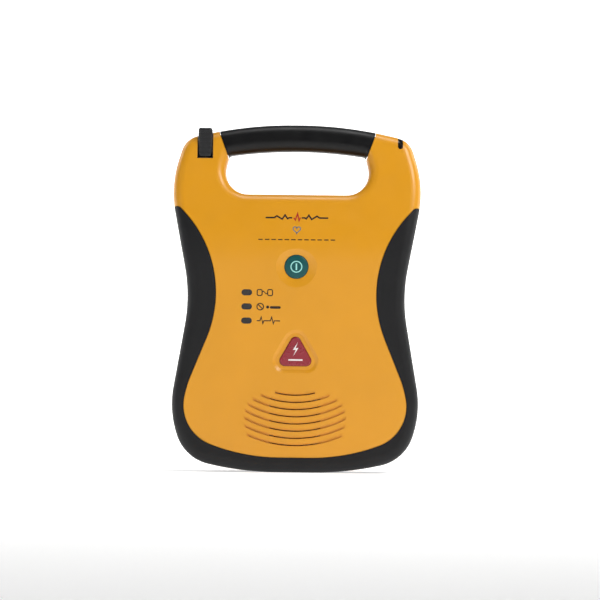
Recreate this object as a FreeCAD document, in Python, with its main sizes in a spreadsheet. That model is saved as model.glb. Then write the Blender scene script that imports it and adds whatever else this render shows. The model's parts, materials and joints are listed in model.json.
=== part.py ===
"""Automated external defibrillator: moulded case with a rubber bumper, a handle over a finger opening,
two push buttons, a plug-in pads lead and a battery that slides out of the side.

The part stands on its lower edge.  X runs to the right, Y to the back and Z up.  The origin is the
middle of the base.  Lengths are millimetres.  Every driving dimension is a cell of the Sizes sheet.
"""
import FreeCAD, Part
import math
import os
import re

import Sketcher
from FreeCAD import Placement, Rotation, Vector

SIZES = {
    # overall form
    "body_width": 213.8,
    "body_height": 300,
    "body_depth": 69,
    "bumper_thickness": 3,
    "wall": 2.5,
    "parting": 9,
    "edge_round": 9,
    # side view: both faces lean in towards the handle
    "face_break_drop": 100,
    "back_break_drop": 70,
    "handle_front": 8,
    "handle_back": 26,
    "break_round": 150,
    # finger opening and grip
    "opening_height": 37,
    "grip_arch": 4,
    "opening_round": 19,
    "opening_edge_round": 9,
    "grip_height": 23.4,
    "grip_half_width": 59.3,
    "grip_flare": 8.2,
    # joint between rubber and shell
    "seam_gap": 0.5,
    "bumper_top_drop": 74.3,
    "seal_width": 1.3,
    "seal_depth": 1.2,
    # push buttons
    "on_off_diameter": 20.4,
    "on_off_height": 177.4,
    "shock_width": 33.6,
    "shock_tall": 29.5,
    "shock_base": 92,
    "shock_round": 4.5,
    "on_off_dish_depth": 2.4,
    "on_off_dish_border": 7.5,
    "dish_depth": 1.5,
    "dish_border": 6.2,
    "dish_slope": 62,
    "button_travel": 2,
    "button_clearance": 0.3,
    "button_crown": 0.3,
    "flange_width": 2,
    "flange_thickness": 1.2,
    "flange_room": 0.1,
    "seat_margin": 1,
    "stem_diameter": 5,
    "spring_diameter": 11,
    "spring_wire": 0.8,
    "switch_side": 6,
    "switch_tall": 3.5,
    "switch_gap": 0.4,
    # indicator lenses
    "lens_width": 9,
    "lens_tall": 5.1,
    "lens_side": 42.5,
    "lens_base": 130.6,
    "lens_pitch": 12.15,
    "lens_sunk": 0.2,
    # speaker
    "speaker_height": 46,
    "speaker_diameter": 57,
    "speaker_depth": 20,
    "magnet_diameter": 30,
    "groove_base": 23.9,
    "groove_pitch": 6.2,
    "groove_width": 2.4,
    "groove_depth": 0.8,
    "channel_width": 1.2,
    "channel_depth": 2,
    "groove_reach": 44,
    "groove_rise": 34,
    "groove_bend": 100,
    "groove_bend_step": 3.6,
    "groove_middle": 36,
    "slot_width": 0.6,
    "slot_reach": 22,
    # boards and what stands on them
    "board_thickness": 1.6,
    "control_board_depth": 12,
    "control_board_half": 50,
    "control_board_base": 89,
    "control_board_tall": 108,
    "main_board_depth": 24,
    "main_board_half": 60,
    "main_board_base": 108,
    "main_board_tall": 114,
    "post_diameter": 7,
    "post_inset": 5,
    "capacitor_diameter": 28,
    "capacitor_length": 74,
    "transformer_side": 30,
    "chip_side": 13,
    "chip_tall": 2,
    # battery
    "battery_length": 112,
    "battery_thickness": 31,
    "battery_tall": 58,
    "battery_base": 30,
    "battery_front": 4.6,
    "battery_inset": 10.9,
    "battery_wall": 1.6,
    "bay_clearance": 0.4,
    "bay_wall": 1.5,
    "bay_rest": 3,
    "cell_diameter": 17,
    "cell_length": 34.5,
    "cell_gap": 0.3,
    # eject button and latch
    "eject_diameter": 10,
    "eject_height": 103,
    "eject_sunk": 0.9,
    "latch_thickness": 0.8,
    "latch_width": 8,
    # pads plug and socket
    "plug_width": 12.2,
    "plug_depth": 16,
    "plug_tall": 25.7,
    "plug_round": 2.2,
    "plug_side": 79.8,
    "plug_top_drop": 3.1,
    "plug_proud": 2,
    "plug_clearance": 0.2,
    "socket_wall": 0.5,
    "socket_floor": 11,
    "socket_set_back": 2,
    "rib_pitch": 4,
    "rib_depth": 0.8,
    "rib_gap": 1.4,
    "pin_diameter": 2.4,
    "pin_length": 9,
    "pin_clearance": 0.05,
    # status indicator
    "status_side": 88.8,
    "status_width": 4.2,
    "status_drop": 19.8,
    "status_depth": 9,
    # pads store in the back
    "store_half_width": 54,
    "store_base": 106,
    "store_tall": 104,
    "store_depth": 9,
    "store_round": 8,
    "lip_width": 20,
    "lip_reach": 5,
    "lip_thickness": 2,
    # screws
    "screw_diameter": 3,
    "screw_head": 5.6,
    "screw_head_tall": 2.4,
    "screw_length": 16,
    "screw_seat": 8,
    "screw_clearance": 0.4,
    "boss_diameter": 8,
    "board_screw_length": 7,
    "label_half_width": 36,
    "label_tall": 22,
    "label_base": 56,
    "label_thickness": 0.4,
}

doc = FreeCAD.newDocument("Defibrillator")
sheet = doc.addObject("Spreadsheet::Sheet", "Sizes")
for row, (alias, value) in enumerate(SIZES.items(), start=1):
    sheet.set(f"A{row}", alias)
    sheet.set(f"B{row}", str(value))
    sheet.setAlias(f"B{row}", alias)
doc.recompute()

ALIASES = re.compile(r"\b(" + "|".join(sorted(SIZES, key=len, reverse=True)) + r")\b")
NODES = []

FRONT = Placement(Vector(0, 0, 0), Rotation(Vector(1, 0, 0), 90))        # across X, up Z
SIDE = Placement(Vector(0, 0, 0), Rotation(Vector(1, 1, 1), 120))        # across Y, up Z


# ---------------------------------------------------------------- helpers

def expr(text):
    """Expression text with each alias written as a cell of the sheet."""
    return ALIASES.sub(r"Sizes.\1", str(text))


def value(text):
    """Present value of an expression."""
    return float(sheet.evalExpression(expr(text)))


def bind(item, **bindings):
    """Bind properties to expressions."""
    for name, text in bindings.items():
        item.setExpression(name, expr(text))


def place(item, spot):
    """Bind an object's position to three expressions."""
    for axis, text in zip("xyz", spot):
        item.setExpression(f"Placement.Base.{axis}", expr(text))


def node(item, name):
    """Register an object as a finished sub-part."""
    item.Label = name
    NODES.append((name, item))
    return item


def block(name, start, end):
    """Box between two corners, each given as three expressions."""
    item = doc.addObject("Part::Box", name)
    for prop, low, high in zip(("Length", "Width", "Height"), start, end):
        item.setExpression(prop, expr(f"({high}) - ({low})"))
    place(item, start)
    return item


TURNS = {"x": Rotation(Vector(0, 1, 0), 90), "y": Rotation(Vector(1, 0, 0), -90), "z": Rotation()}


def rod(name, axis, diameter, length, start):
    """Cylinder along an axis from its starting centre."""
    item = doc.addObject("Part::Cylinder", name)
    item.Placement = Placement(Vector(), TURNS[axis])
    bind(item, Radius=f"({diameter}) / 2", Height=length)
    place(item, start)
    return item


def cut(name, base, *tools):
    """Base with every tool taken away."""
    item = doc.addObject("Part::Cut", name)
    item.Base = base
    item.Tool = tools[0] if len(tools) == 1 else fuse(name + "_tools", *tools)
    item.Refine = True
    return item


def fuse(name, *shapes):
    item = doc.addObject("Part::MultiFuse", name)
    item.Shapes = list(shapes)
    item.Refine = True
    return item


def common(name, *shapes):
    item = doc.addObject("Part::MultiCommon", name)
    item.Shapes = list(shapes)
    item.Refine = True
    return item


def group(name, *shapes):
    """Separate solids of one node."""
    item = doc.addObject("Part::Compound", name)
    item.Links = list(shapes)
    return item


def corner_arc(before, corner, after, radius):
    """Start, end, centre and angles of the arc that rounds one corner."""
    back = (before - corner).normalize()
    ahead = (after - corner).normalize()
    half = back.getAngle(ahead) / 2
    reach = radius / math.tan(half)
    centre = corner + (back + ahead).normalize() * (radius / math.sin(half))
    return corner + back * reach, corner + ahead * reach, centre


def draw(sketch, corners):
    """Closed outline through corners (across, up, radius); an empty radius leaves a corner sharp.

    The corners are construction points bound to the sheet, and tangent arcs round them.
    """
    spots = [Vector(value(across), value(up), 0) for across, up, _ in corners]
    total = len(corners)
    points, ends = [], []
    for index, (across, up, radius) in enumerate(corners):
        point = sketch.addGeometry(Part.Point(spots[index]), True)
        for kind, text in (("DistanceX", across), ("DistanceY", up)):
            number = sketch.addConstraint(Sketcher.Constraint(kind, -1, 1, point, 1, value(text)))
            sketch.setExpression(f"Constraints[{number}]", expr(text))
        points.append(point)
        if radius:
            ends.append(corner_arc(spots[index - 1], spots[index], spots[(index + 1) % total], value(radius)))
        else:
            ends.append((spots[index], spots[index], None))
    lines = []
    for index in range(total):
        after = (index + 1) % total
        line = sketch.addGeometry(Part.LineSegment(ends[index][1], ends[after][0]), False)
        lines.append(line)
        for corner, end in ((index, 1), (after, 2)):
            if corners[corner][2]:
                sketch.addConstraint(Sketcher.Constraint("PointOnObject", points[corner], 1, line))
            else:
                sketch.addConstraint(Sketcher.Constraint("Coincident", points[corner], 1, line, end))
    for index, (_, _, radius) in enumerate(corners):
        if radius:
            add_corner(sketch, ends[index], lines[index - 1], lines[index], radius)


def add_corner(sketch, end, line_in, line_out, radius):
    """Arc tangent to two lines, with its radius bound to the sheet."""
    start, finish, centre = end
    a = math.atan2(start.y - centre.y, start.x - centre.x)
    b = math.atan2(finish.y - centre.y, finish.x - centre.x)
    turn_left = (b - a) % (2 * math.pi) < math.pi
    low, high = (a, b) if turn_left else (b, a)
    circle = Part.Circle(centre, Vector(0, 0, 1), value(radius))
    arc = sketch.addGeometry(Part.ArcOfCircle(circle, low, high), False)
    first, last = (1, 2) if turn_left else (2, 1)
    sketch.addConstraint(Sketcher.Constraint("Tangent", line_in, 2, arc, first))
    sketch.addConstraint(Sketcher.Constraint("Tangent", arc, last, line_out, 1))
    number = sketch.addConstraint(Sketcher.Constraint("Radius", arc, value(radius)))
    sketch.setExpression(f"Constraints[{number}]", expr(radius))


def outline(name, placement, corners):
    """Sketch of its own with a rounded outline."""
    sketch = doc.addObject("Sketcher::SketchObject", name)
    sketch.Placement = placement
    draw(sketch, corners)
    return sketch


def mirrored(corners):
    """Full outline from its right half, listed from the bottom to the top; a corner at 0 stays single."""
    left = [(f"-({across})", up, radius) for across, up, radius in reversed(corners) if across != "0"]
    return list(corners) + left


def grown(name, sketch, distance):
    """Outline moved outwards by a distance, inwards when it is negative."""
    item = doc.addObject("Part::Offset2D", name)
    item.Source = sketch
    item.Join = "Intersection"
    item.setExpression("Value", expr(distance))
    return item


def extrude(name, source, direction, start, end):
    """Prism of a closed outline along an axis, from one coordinate to another."""
    item = doc.addObject("Part::Extrusion", name)
    item.Base = source
    item.DirMode = "Custom"
    item.Dir = direction
    item.Solid = True
    bind(item, LengthFwd=f"{end}", LengthRev=f"-({start})")
    return item


ALONG_X, ALONG_Y = Vector(1, 0, 0), Vector(0, 1, 0)


def rounded(name, base, radius, chosen):
    """Fillet of the edges that the chosen test accepts."""
    doc.recompute()
    item = doc.addObject("Part::Fillet", name)
    item.Base = base
    size = value(radius)
    numbers = [i for i, edge in enumerate(base.Shape.Edges, start=1) if chosen(edge)]
    item.Edges = [(i, size, size) for i in numbers]
    return item


# ---------------------------------------------------------------- outer form

SILHOUETTE = mirrored([
    ("body_width/2 - 62.8", "0", "268"),
    ("body_width/2 - 11.9", "11.2", "37"),
    ("body_width/2 + 1.7", "52.6", "85"),
    ("body_width/2 - 15.5", "151.5", "140"),
    ("body_width/2 + 2.7", "body_height - 53", "94"),
    ("body_width/2 - 10.1", "body_height - 12.6", "18.5"),
    ("41.8", "body_height", "345"),
])
PROFILE = [
    ("-body_depth/2", "-20", ""),
    ("body_depth/2", "-20", ""),
    ("body_depth/2", "body_height - back_break_drop", "break_round"),
    ("handle_back", "body_height", ""),
    ("handle_back", "body_height + 20", ""),
    ("-handle_front", "body_height + 20", ""),
    ("-handle_front", "body_height", ""),
    ("-body_depth/2", "body_height - face_break_drop", "break_round"),
]
OPENING = mirrored([
    ("grip_half_width + 7.5", "body_height - grip_height - opening_height", "opening_round"),
    ("grip_half_width - 0.5", "body_height - grip_height - grip_arch", "4"),
    ("0", "body_height - grip_height + grip_arch", "390"),
])
SEAM = mirrored([
    ("body_width/2 - 64.3", "13.2", "164"),
    ("body_width/2 - 4.5", "34.9", "36"),
    ("body_width/2 - 14.6", "76.4", "76"),
    ("body_width/2 - 55", "175.8", "102"),
    ("body_width/2 - 4.5", "body_height - bumper_top_drop + 4.5", "5"),
    ("body_width/2 + 10", "body_height - bumper_top_drop - 4", ""),
    ("body_width/2 + 10", "body_height + 20", ""),
])
GRIP = mirrored([
    ("grip_half_width - 2", "body_height - grip_height - 14", ""),
    ("grip_half_width", "body_height - grip_height - 7", ""),
    ("grip_half_width + grip_flare", "body_height - 8", ""),
    ("grip_half_width + grip_flare + 2", "body_height + 20", ""),
])
CASE_SCREWS = [("44", "21.5"), ("66", "103"), ("84", "body_height - 60")]
FACE = "(-body_depth/2)"
BACK = "(body_depth/2)"
FAR = "body_depth"
GROOVES = 8
SLACK = 0.2
CELLS = 5


# ---------------------------------------------------------------- case blanks

def case_form(name, inset):
    """The whole outer form moved inwards by an inset, before the finger opening."""
    front = grown(name + "_front", silhouette, f"-({inset})") if inset else silhouette
    side = grown(name + "_side", profile, f"-({inset})") if inset else profile
    slab = extrude(name + "_slab", front, ALONG_Y, f"-{FAR}", FAR)
    wedge = extrude(name + "_wedge", side, ALONG_X, "-body_width", "body_width")
    return common(name + "_blank", slab, wedge)


def prism(name, sketch, margin, start=f"-{FAR}", end=FAR):
    """Prism through the case of an outline made larger by a margin."""
    shape = grown(name + "_shape", sketch, margin) if margin else sketch
    return extrude(name, shape, ALONG_Y, start, end)


def is_rim(edge):
    """True for the edges where a face meets the side walls."""
    tangent = edge.tangentAt((edge.FirstParameter + edge.LastParameter) / 2)
    return abs(tangent.y) < 0.8 and edge.Length < value("body_width") * 0.7


def opening_rim(margin):
    """Test for the front and back edges of the finger opening made larger by a margin."""
    low = value(f"body_height - grip_height - opening_height - {margin}") - SLACK
    high = value(f"body_height - grip_height + {margin}") + SLACK
    side = value(f"grip_half_width + 6 + {margin}")

    def chosen(edge):
        middle = edge.valueAt((edge.FirstParameter + edge.LastParameter) / 2)
        tangent = edge.tangentAt((edge.FirstParameter + edge.LastParameter) / 2)
        inside = low < edge.BoundBox.ZMin and edge.BoundBox.ZMax < high
        return inside and abs(middle.x) < side and abs(tangent.y) < 0.8

    return chosen


silhouette = outline("silhouette", FRONT, SILHOUETTE)
profile = outline("profile", SIDE, PROFILE)
opening = outline("opening", FRONT, OPENING)
seam = outline("seam", FRONT, SEAM)
grip_area = outline("grip_area", FRONT, GRIP)


def make_case_blanks():
    """Outer form and the moulded core under the rubber, both with the finger opening."""
    whole = rounded("outer_round", case_form("outer", ""), "edge_round", is_rim)
    open_whole = cut("outer_open", whole, prism("opening_through", opening, ""))
    outer = rounded("outer_case", open_whole, "opening_edge_round", opening_rim("0"))
    solid = rounded("core_round", case_form("core", "bumper_thickness"), "edge_round - bumper_thickness",
                    is_rim)
    open_core = cut("core_open", solid, prism("opening_core", opening, "bumper_thickness"))
    core = rounded("core_case", open_core, "opening_edge_round - bumper_thickness",
                   opening_rim("bumper_thickness"))
    return whole, outer, core


def make_cavity():
    """Everything hollow inside the case, with the screw bosses and board posts left standing."""
    deep = cut("hollow", case_form("hollow", "bumper_thickness + wall"),
               prism("opening_hollow", opening, "bumper_thickness + wall"))
    panel = common("relief", case_form("relief_form", "wall"), prism("relief_area", seam, "-(wall + 0.6)"),
                   block("relief_top", ("-body_width", f"-{FAR}", "0"),
                         ("body_width", FAR, "body_height - bumper_top_drop - 4")))
    bosses = [rod(f"boss_{side}_{i}", "y", "boss_diameter", f"2 * {FAR}", (f"{side}1 * {x}", f"-{FAR}", z))
              for i, (x, z) in enumerate(CASE_SCREWS) for side in "+-"]
    posts = [rod(f"post_{i}", "y", "post_diameter", f"{FAR} + {FACE} + {depth}", (x, f"-{FAR}", z))
             for i, (x, z, depth) in enumerate(board_posts())]
    side = "(store_half_width + wall)"
    store = block("store_wall", (f"-{side}", f"{BACK} - store_depth - wall", "store_base - wall"),
                  (side, FAR, "store_base + store_tall + wall"))
    return cut("cavity", fuse("hollow_all", deep, panel), *bosses, *posts, store)


def board_posts():
    """Across, up and board depth of every post that carries a board."""
    spots = []
    for board in ("control_board", "main_board"):
        low = f"{board}_base + post_inset"
        high = f"{board}_base + {board}_tall - post_inset"
        side = f"{board}_half - post_inset"
        spots += [(x, z, f"{board}_depth") for x in (side, f"-({side})") for z in (low, high)]
    return spots


# ---------------------------------------------------------------- covers, rubber and seals

def bay_block(name, margin, left, right):
    """Block of the battery's section made larger by a margin."""
    return block(name, (left, f"-battery_front - ({margin})", f"battery_base - ({margin})"),
                 (right, f"-battery_front + battery_thickness + {margin}",
                  f"battery_base + battery_tall + {margin}"))


def groove_cuts():
    """Curved speaker grooves, each with a deeper channel and a narrow slot through the wall."""
    tools = []
    for i in range(GROOVES):
        up = f"(groove_base + {i} * groove_pitch)"
        bend = f"(groove_bend - {i} * groove_bend_step)"
        reach = f"groove_reach * sqrt(1 - (({up} - groove_middle) / groove_rise) ^ 2)"
        tools.append(ring_piece(f"groove_{i}", up, bend, "groove_width", reach, f"{FACE} + groove_depth"))
        low = f"({up} - (groove_width - channel_width) / 2 + 0.1)"
        tools.append(ring_piece(f"channel_{i}", low, bend, "channel_width", f"0.97 * {reach}",
                                f"{FACE} + channel_depth"))
        slot = f"min({reach}; slot_reach)"
        tools.append(ring_piece(f"slot_{i}", low, bend, "slot_width", slot, f"{FACE} + 2 * wall"))
    return tools


def ring_piece(name, up, bend, width, reach, bottom):
    """Part of a ring whose lowest point is at a height, cut from in front to a bottom."""
    start, length = f"{FACE} - 2", f"({bottom}) - ({FACE} - 2)"
    centre = ("0", start, f"{up} + {bend}")
    ring = cut(name + "_ring", rod(name + "_out", "y", f"2 * {bend} + {width}", length, centre),
               rod(name + "_in", "y", f"2 * {bend} - {width}", length, centre))
    window = block(name + "_window", (f"-({reach})", start, f"{up} - {width}"),
                   (reach, bottom, f"{up} + {bend} / 2"))
    return common(name, ring, window)


def make_covers(outer, core, cavity):
    """Front and back covers, the rubber bumper, the grip and the seals."""
    yellow = cut("yellow_skin", common("yellow_area", outer, prism("seam_prism", seam, "")),
                 prism("grip_prism", grip_area, ""))
    body = fuse("case_body", yellow, core)
    bay = common("bay_outer", core, bay_block("bay_outer_block", "bay_clearance + bay_wall",
                                              "-body_width", f"{PACK_RIGHT} + bay_rest + bay_wall"))
    socket_hole = socket_space("socket_hole")
    shell = cut("case_shell", body, cavity)
    over = "body_height + 10"
    front_half = block("front_half", ("-body_width", f"-{FAR}", "-10"), ("body_width", "parting", over))
    back_half = block("back_half", ("-body_width", "parting", "-10"), ("body_width", FAR, over))
    eject_hole = rod("eject_hole", "x", "eject_diameter + 2 * button_clearance", "40",
                     ("-body_width/2 - 20", "parting", "eject_height"))
    front_screws = [rod(f"front_bore_{side}_{i}", "y", "screw_diameter", "screw_length - screw_seat + 0.5",
                        (f"{side}1 * {x}", "parting - (screw_length - screw_seat + 0.5)", z))
                    for i, (x, z) in enumerate(CASE_SCREWS) for side in "+-"]
    post_bores = [rod(f"post_bore_{i}", "y", "screw_diameter", "board_screw_length",
                      (x, f"{FACE} + {depth} - board_screw_length + board_thickness", z))
                  for i, (x, z, depth) in enumerate(board_posts())]
    front = cut("front_cover", common("front_shell", shell, front_half), bay, socket_hole, eject_hole,
                *on_off_cuts(), *shock_cuts(), *lens_cuts(), status_hole(), speaker_seat(),
                *groove_cuts(), *front_screws, *post_bores)
    node(front, "front_cover")

    back_screws = []
    for i, (x, z) in enumerate(CASE_SCREWS):
        for side in "+-":
            across = f"{side}1 * {x}"
            back_screws.append(rod(f"back_bore_{side}_{i}", "y", "screw_diameter + screw_clearance", FAR,
                                   (across, "parting", z)))
            back_screws.append(rod(f"back_seat_{side}_{i}", "y", "screw_head + screw_clearance", FAR,
                                   (across, "parting + screw_seat", z)))
    seals = make_seal()
    back = cut("back_main", common("back_shell", shell, back_half), bay, eject_hole, *seals, store_cut(),
               label_cut(), *back_screws)
    node(fuse("back_cover", back, *store_lips()), "back_cover")

    bay_mouth = bay_block("bay_mouth", "bay_clearance", "-body_width", "-body_width/4")
    bumper = cut("side_bumper", outer, prism("seam_wide", seam, "seam_gap"), core, bay_mouth, eject_hole)
    node(bumper, "side_bumper")
    grip = cut("handle_grip", common("grip_piece", outer, prism("grip_inner", grip_area, "-seam_gap")), core)
    node(grip, "handle_grip")
    liner = cut("battery_bay", bay, latch_slot(),
                bay_block("bay_room", "bay_clearance", "-body_width", f"{PACK_RIGHT} + bay_rest"))
    node(liner, "battery_bay")


def make_seal():
    """Rubber cord ring in the rim of the back cover, and one around the finger opening."""
    near, far_in = "bumper_thickness + 0.6", "bumper_thickness + 0.6 + seal_width"
    end = "parting + seal_depth"
    rings = [cut("seal_outside", prism("seal_out_big", silhouette, f"-({near})", "-parting", end),
                 prism("seal_out_small", silhouette, f"-({far_in})", "-parting", end)),
             cut("seal_inside", prism("seal_in_big", opening, far_in, "-parting", end),
                 prism("seal_in_small", opening, near, "-parting", end))]
    lengths = []
    for i, ring in enumerate(rings):
        room = block(f"seal_room_{i}", ("-body_width", "parting", "0"), ("body_width", end, "body_height"))
        lengths.append(common(f"seal_ring_{i}", ring, room))
    lengths[0] = cut("seal_outer", lengths[0],
                     bay_block("seal_bay_gap", "bay_clearance + bay_wall", "-body_width", "0"),
                     rod("seal_eject_gap", "x", "eject_diameter + 2 * button_clearance", "40",
                         ("-body_width/2 - 20", "parting", "eject_height")))
    node(group("case_seal", *lengths), "case_seal")
    return lengths


# ---------------------------------------------------------------- turned pieces and springs

def turned(name, corners, spot, axis="y"):
    """Body turned from a profile of (radius, along) corners about its own axis."""
    body = doc.addObject("PartDesign::Body", name)
    sketch = body.newObject("Sketcher::SketchObject", name + "_profile")
    plane = [item for item in body.Origin.OriginFeatures if item.Role == "XZ_Plane"][0]
    sketch.AttachmentSupport = (plane, [""])
    sketch.MapMode = "FlatFace"
    draw(sketch, corners)
    turn = body.newObject("PartDesign::Revolution", name + "_turn")
    turn.Profile = sketch
    turn.ReferenceAxis = (sketch, ["V_Axis"])
    turn.Angle = 360
    body.Placement = Placement(Vector(), TURNS[axis])
    place(body, spot)
    return body


def spring(name, diameter, wire, length, turns, spot, axis="y"):
    """Round wire coil along its axis, with half a wire kept clear at each end."""
    body = doc.addObject("PartDesign::Body", name)
    sketch = body.newObject("Sketcher::SketchObject", name + "_wire")
    plane = [item for item in body.Origin.OriginFeatures if item.Role == "XZ_Plane"][0]
    sketch.AttachmentSupport = (plane, [""])
    sketch.MapMode = "FlatFace"
    across, radius = f"({diameter} - {wire}) / 2", f"{wire} / 2"
    sketch.addGeometry(Part.Circle(Vector(value(across), value(radius), 0), Vector(0, 0, 1), value(radius)))
    for constraint, text in ((Sketcher.Constraint("DistanceX", -1, 1, 0, 3, value(across)), across),
                             (Sketcher.Constraint("DistanceY", -1, 1, 0, 3, value(radius)), radius),
                             (Sketcher.Constraint("Radius", 0, value(radius)), radius)):
        number = sketch.addConstraint(constraint)
        sketch.setExpression(f"Constraints[{number}]", expr(text))
    coil = body.newObject("PartDesign::AdditiveHelix", name + "_coil")
    coil.Profile = sketch
    coil.ReferenceAxis = (sketch, ["V_Axis"])
    coil.Mode = "height-turns-growth"
    coil.setExpression("Height", expr(f"({length}) - {wire}"))
    coil.Turns = turns
    coil.Growth = 0
    body.Placement = Placement(Vector(), TURNS[axis])
    place(body, spot)
    return body


# ---------------------------------------------------------------- push buttons and indicators

BOARD_FACE = f"({FACE} + control_board_depth)"
WALL_INSIDE = f"({FACE} + wall)"


def on_off_cuts():
    """Hole, shallow round dish and flat flange seat for the on/off button."""
    hole = rod("on_off_hole", "y", "on_off_diameter + 2 * button_clearance", "20",
               ("0", f"{FACE} - 10", "on_off_height"))
    dish = doc.addObject("Part::Sphere", "on_off_dish")
    reach, deep = "(on_off_diameter / 2 + on_off_dish_border)", "on_off_dish_depth"
    ball = f"(({reach} ^ 2 + {deep} ^ 2) / (2 * {deep}))"
    bind(dish, Radius=ball)
    place(dish, ("0", f"{FACE} + {deep} - {ball}", "on_off_height"))
    seat = rod("on_off_seat", "y", "on_off_diameter + 2 * flange_width + seat_margin", "wall",
               ("0", WALL_INSIDE, "on_off_height"))
    return [hole, dish, seat]


def on_off_parts():
    """Round cap with a domed face, its spring and its switch."""
    radius, wide = "on_off_diameter / 2", "on_off_diameter / 2 + flange_width"
    flange_top = f"wall + flange_room"
    stem_end = "control_board_depth - switch_tall - button_travel - switch_gap"
    cap = turned("on_off_button", [
        ("0", "button_crown", ""),
        (f"{radius} / 2", "button_crown", "20"),
        (radius, "button_crown + 0.6", "1.2"),
        (radius, flange_top, ""),
        (wide, flange_top, ""),
        (wide, f"{flange_top} + flange_thickness", ""),
        ("stem_diameter / 2", f"{flange_top} + flange_thickness", ""),
        ("stem_diameter / 2", stem_end, ""),
        ("0", stem_end, ""),
    ], ("0", FACE, "on_off_height"))
    node(cap, "on_off_button")
    node(button_spring("on_off_spring", "0", "on_off_height"), "on_off_spring")
    node(switch("on_off_switch", "0", "on_off_height"), "on_off_switch")


def button_spring(name, across, up):
    start = f"{WALL_INSIDE} + flange_room + flange_thickness + 0.05"
    length = f"control_board_depth - wall - flange_room - flange_thickness - 0.1"
    return spring(name, "spring_diameter", "spring_wire", length, 4, (across, start, up))


def switch(name, across, up):
    """Tactile switch on the control board: square body with a round plunger."""
    half = "switch_side / 2"
    body = block(name + "_body", (f"{across} - {half}", f"{BOARD_FACE} - switch_tall + 0.8", f"{up} - {half}"),
                 (f"{across} + {half}", BOARD_FACE, f"{up} + {half}"))
    plunger = rod(name + "_plunger", "y", "switch_side / 2", "0.8", (across, f"{BOARD_FACE} - switch_tall", up))
    return fuse(name, body, plunger)


def shock_parts():
    """Rounded triangular cap with a flange and a stem, its spring and its switch."""
    flange_top = f"{WALL_INSIDE} + flange_room"
    flange_end = f"{flange_top} + flange_thickness"
    stem_end = f"{BOARD_FACE} - switch_tall - button_travel - switch_gap"
    centre = "shock_base + shock_tall * 0.38"
    cap = extrude_from("shock_cap", shock, f"{FACE} + button_crown", flange_end)
    wide = grown("shock_flange_shape", shock, "flange_width")
    flange = extrude_from("shock_flange", wide, flange_top, flange_end)
    stem = rod("shock_stem", "y", "stem_diameter", f"({stem_end}) - ({flange_end})", ("0", flange_end, centre))
    soft_cap = rounded("shock_cap_round", cap, "1", lambda edge: edge.BoundBox.YMax < value(FACE) + 0.5)
    node(fuse("shock_button", soft_cap, flange, stem), "shock_button")
    node(button_spring("shock_spring", "0", centre), "shock_spring")
    node(switch("shock_switch", "0", centre), "shock_switch")


def extrude_from(name, shape, start, end):
    """Prism of a front outline between two depths in front of the middle plane."""
    item = extrude(name, shape, ALONG_Y, start, "0")
    item.setExpression("LengthFwd", expr(end))
    return item


def shock_cuts():
    """Hole and shallow dish that follow the triangular button."""
    hole = extrude_from("shock_hole", grown("shock_hole_shape", shock, "button_clearance"), f"{FACE} - 10",
                        f"{FACE} + 10")
    border = "dish_border - dish_depth * tan(dish_slope)"
    dish = doc.addObject("Part::Extrusion", "shock_dish_form")
    dish.Base = grown("shock_dish_shape", shock, border)
    dish.DirMode = "Custom"
    dish.Dir = Vector(0, -1, 0)
    dish.Solid = True
    bind(dish, LengthFwd="dish_depth + 1", TaperAngle="dish_slope * 1 deg")
    place(dish, ("0", f"{FACE} + dish_depth", "0"))
    return [hole, dish]


def speaker_seat():
    """Flat seat behind the grooves for the speaker's gasket."""
    return rod("speaker_seat", "y", "speaker_diameter + seat_margin", "wall",
               ("0", WALL_INSIDE, "speaker_height"))


def lens_cuts():
    """Hole for each indicator lens."""
    return [extrude_from(f"lens_hole_{i}", grown(f"lens_hole_shape_{i}", lens, "0.1"),
                         f"{FACE} - 10", f"{FACE} + 10") for i, lens in enumerate(lenses)]


def lens_parts():
    """Three oval lenses, each held by a flange behind the wall, and the lamps behind them."""
    pieces, lamps = [], []
    for i, lens in enumerate(lenses):
        front = extrude_from(f"lens_front_{i}", lens, f"{FACE} + lens_sunk", WALL_INSIDE)
        flange = extrude_from(f"lens_flange_{i}", grown(f"lens_flange_shape_{i}", lens, "1"), WALL_INSIDE,
                              f"{WALL_INSIDE} + 1")
        pieces.append(fuse(f"lens_{i}", front, flange))
        spot = ("-lens_side", f"{BOARD_FACE} - 5", f"lens_base + {i} * lens_pitch")
        lamps.append(rod(f"lamp_{i}", "y", "3", "5", spot))
    node(group("status_lenses", *pieces), "status_lenses")
    node(group("indicator_leds", *lamps), "indicator_leds")


SHOCK = [
    ("-shock_width/2", "shock_base", "shock_round"),
    ("shock_width/2", "shock_base", "shock_round"),
    ("0", "shock_base + shock_tall", "shock_round"),
]


def lens_corners(index):
    """Oval of one indicator lens."""
    low = f"lens_base + {index} * lens_pitch - lens_tall/2"
    high = f"lens_base + {index} * lens_pitch + lens_tall/2"
    left, right = "-lens_side - lens_width/2", "-lens_side + lens_width/2"
    return [(left, low, "lens_tall/2 - 0.05"), (right, low, "lens_tall/2 - 0.05"),
            (right, high, "lens_tall/2 - 0.05"), (left, high, "lens_tall/2 - 0.05")]


shock = outline("shock_outline", FRONT, SHOCK)
lenses = [outline(f"lens_outline_{i}", FRONT, lens_corners(i)) for i in range(3)]
STATUS_LEFT, STATUS_RIGHT = "status_side - status_width/2", "status_side + status_width/2"
status = outline("status_outline", FRONT, [
    (STATUS_LEFT, "body_height - status_drop", "status_width/2 - 0.05"),
    (STATUS_RIGHT, "body_height - status_drop", "status_width/2 - 0.05"),
    (STATUS_RIGHT, "body_height", ""),
    (STATUS_LEFT, "body_height", ""),
])


def status_hole():
    return extrude_from("status_hole", grown("status_hole_shape", status, "0.1"), f"-{FAR}",
                        "-handle_front + status_depth")


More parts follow.
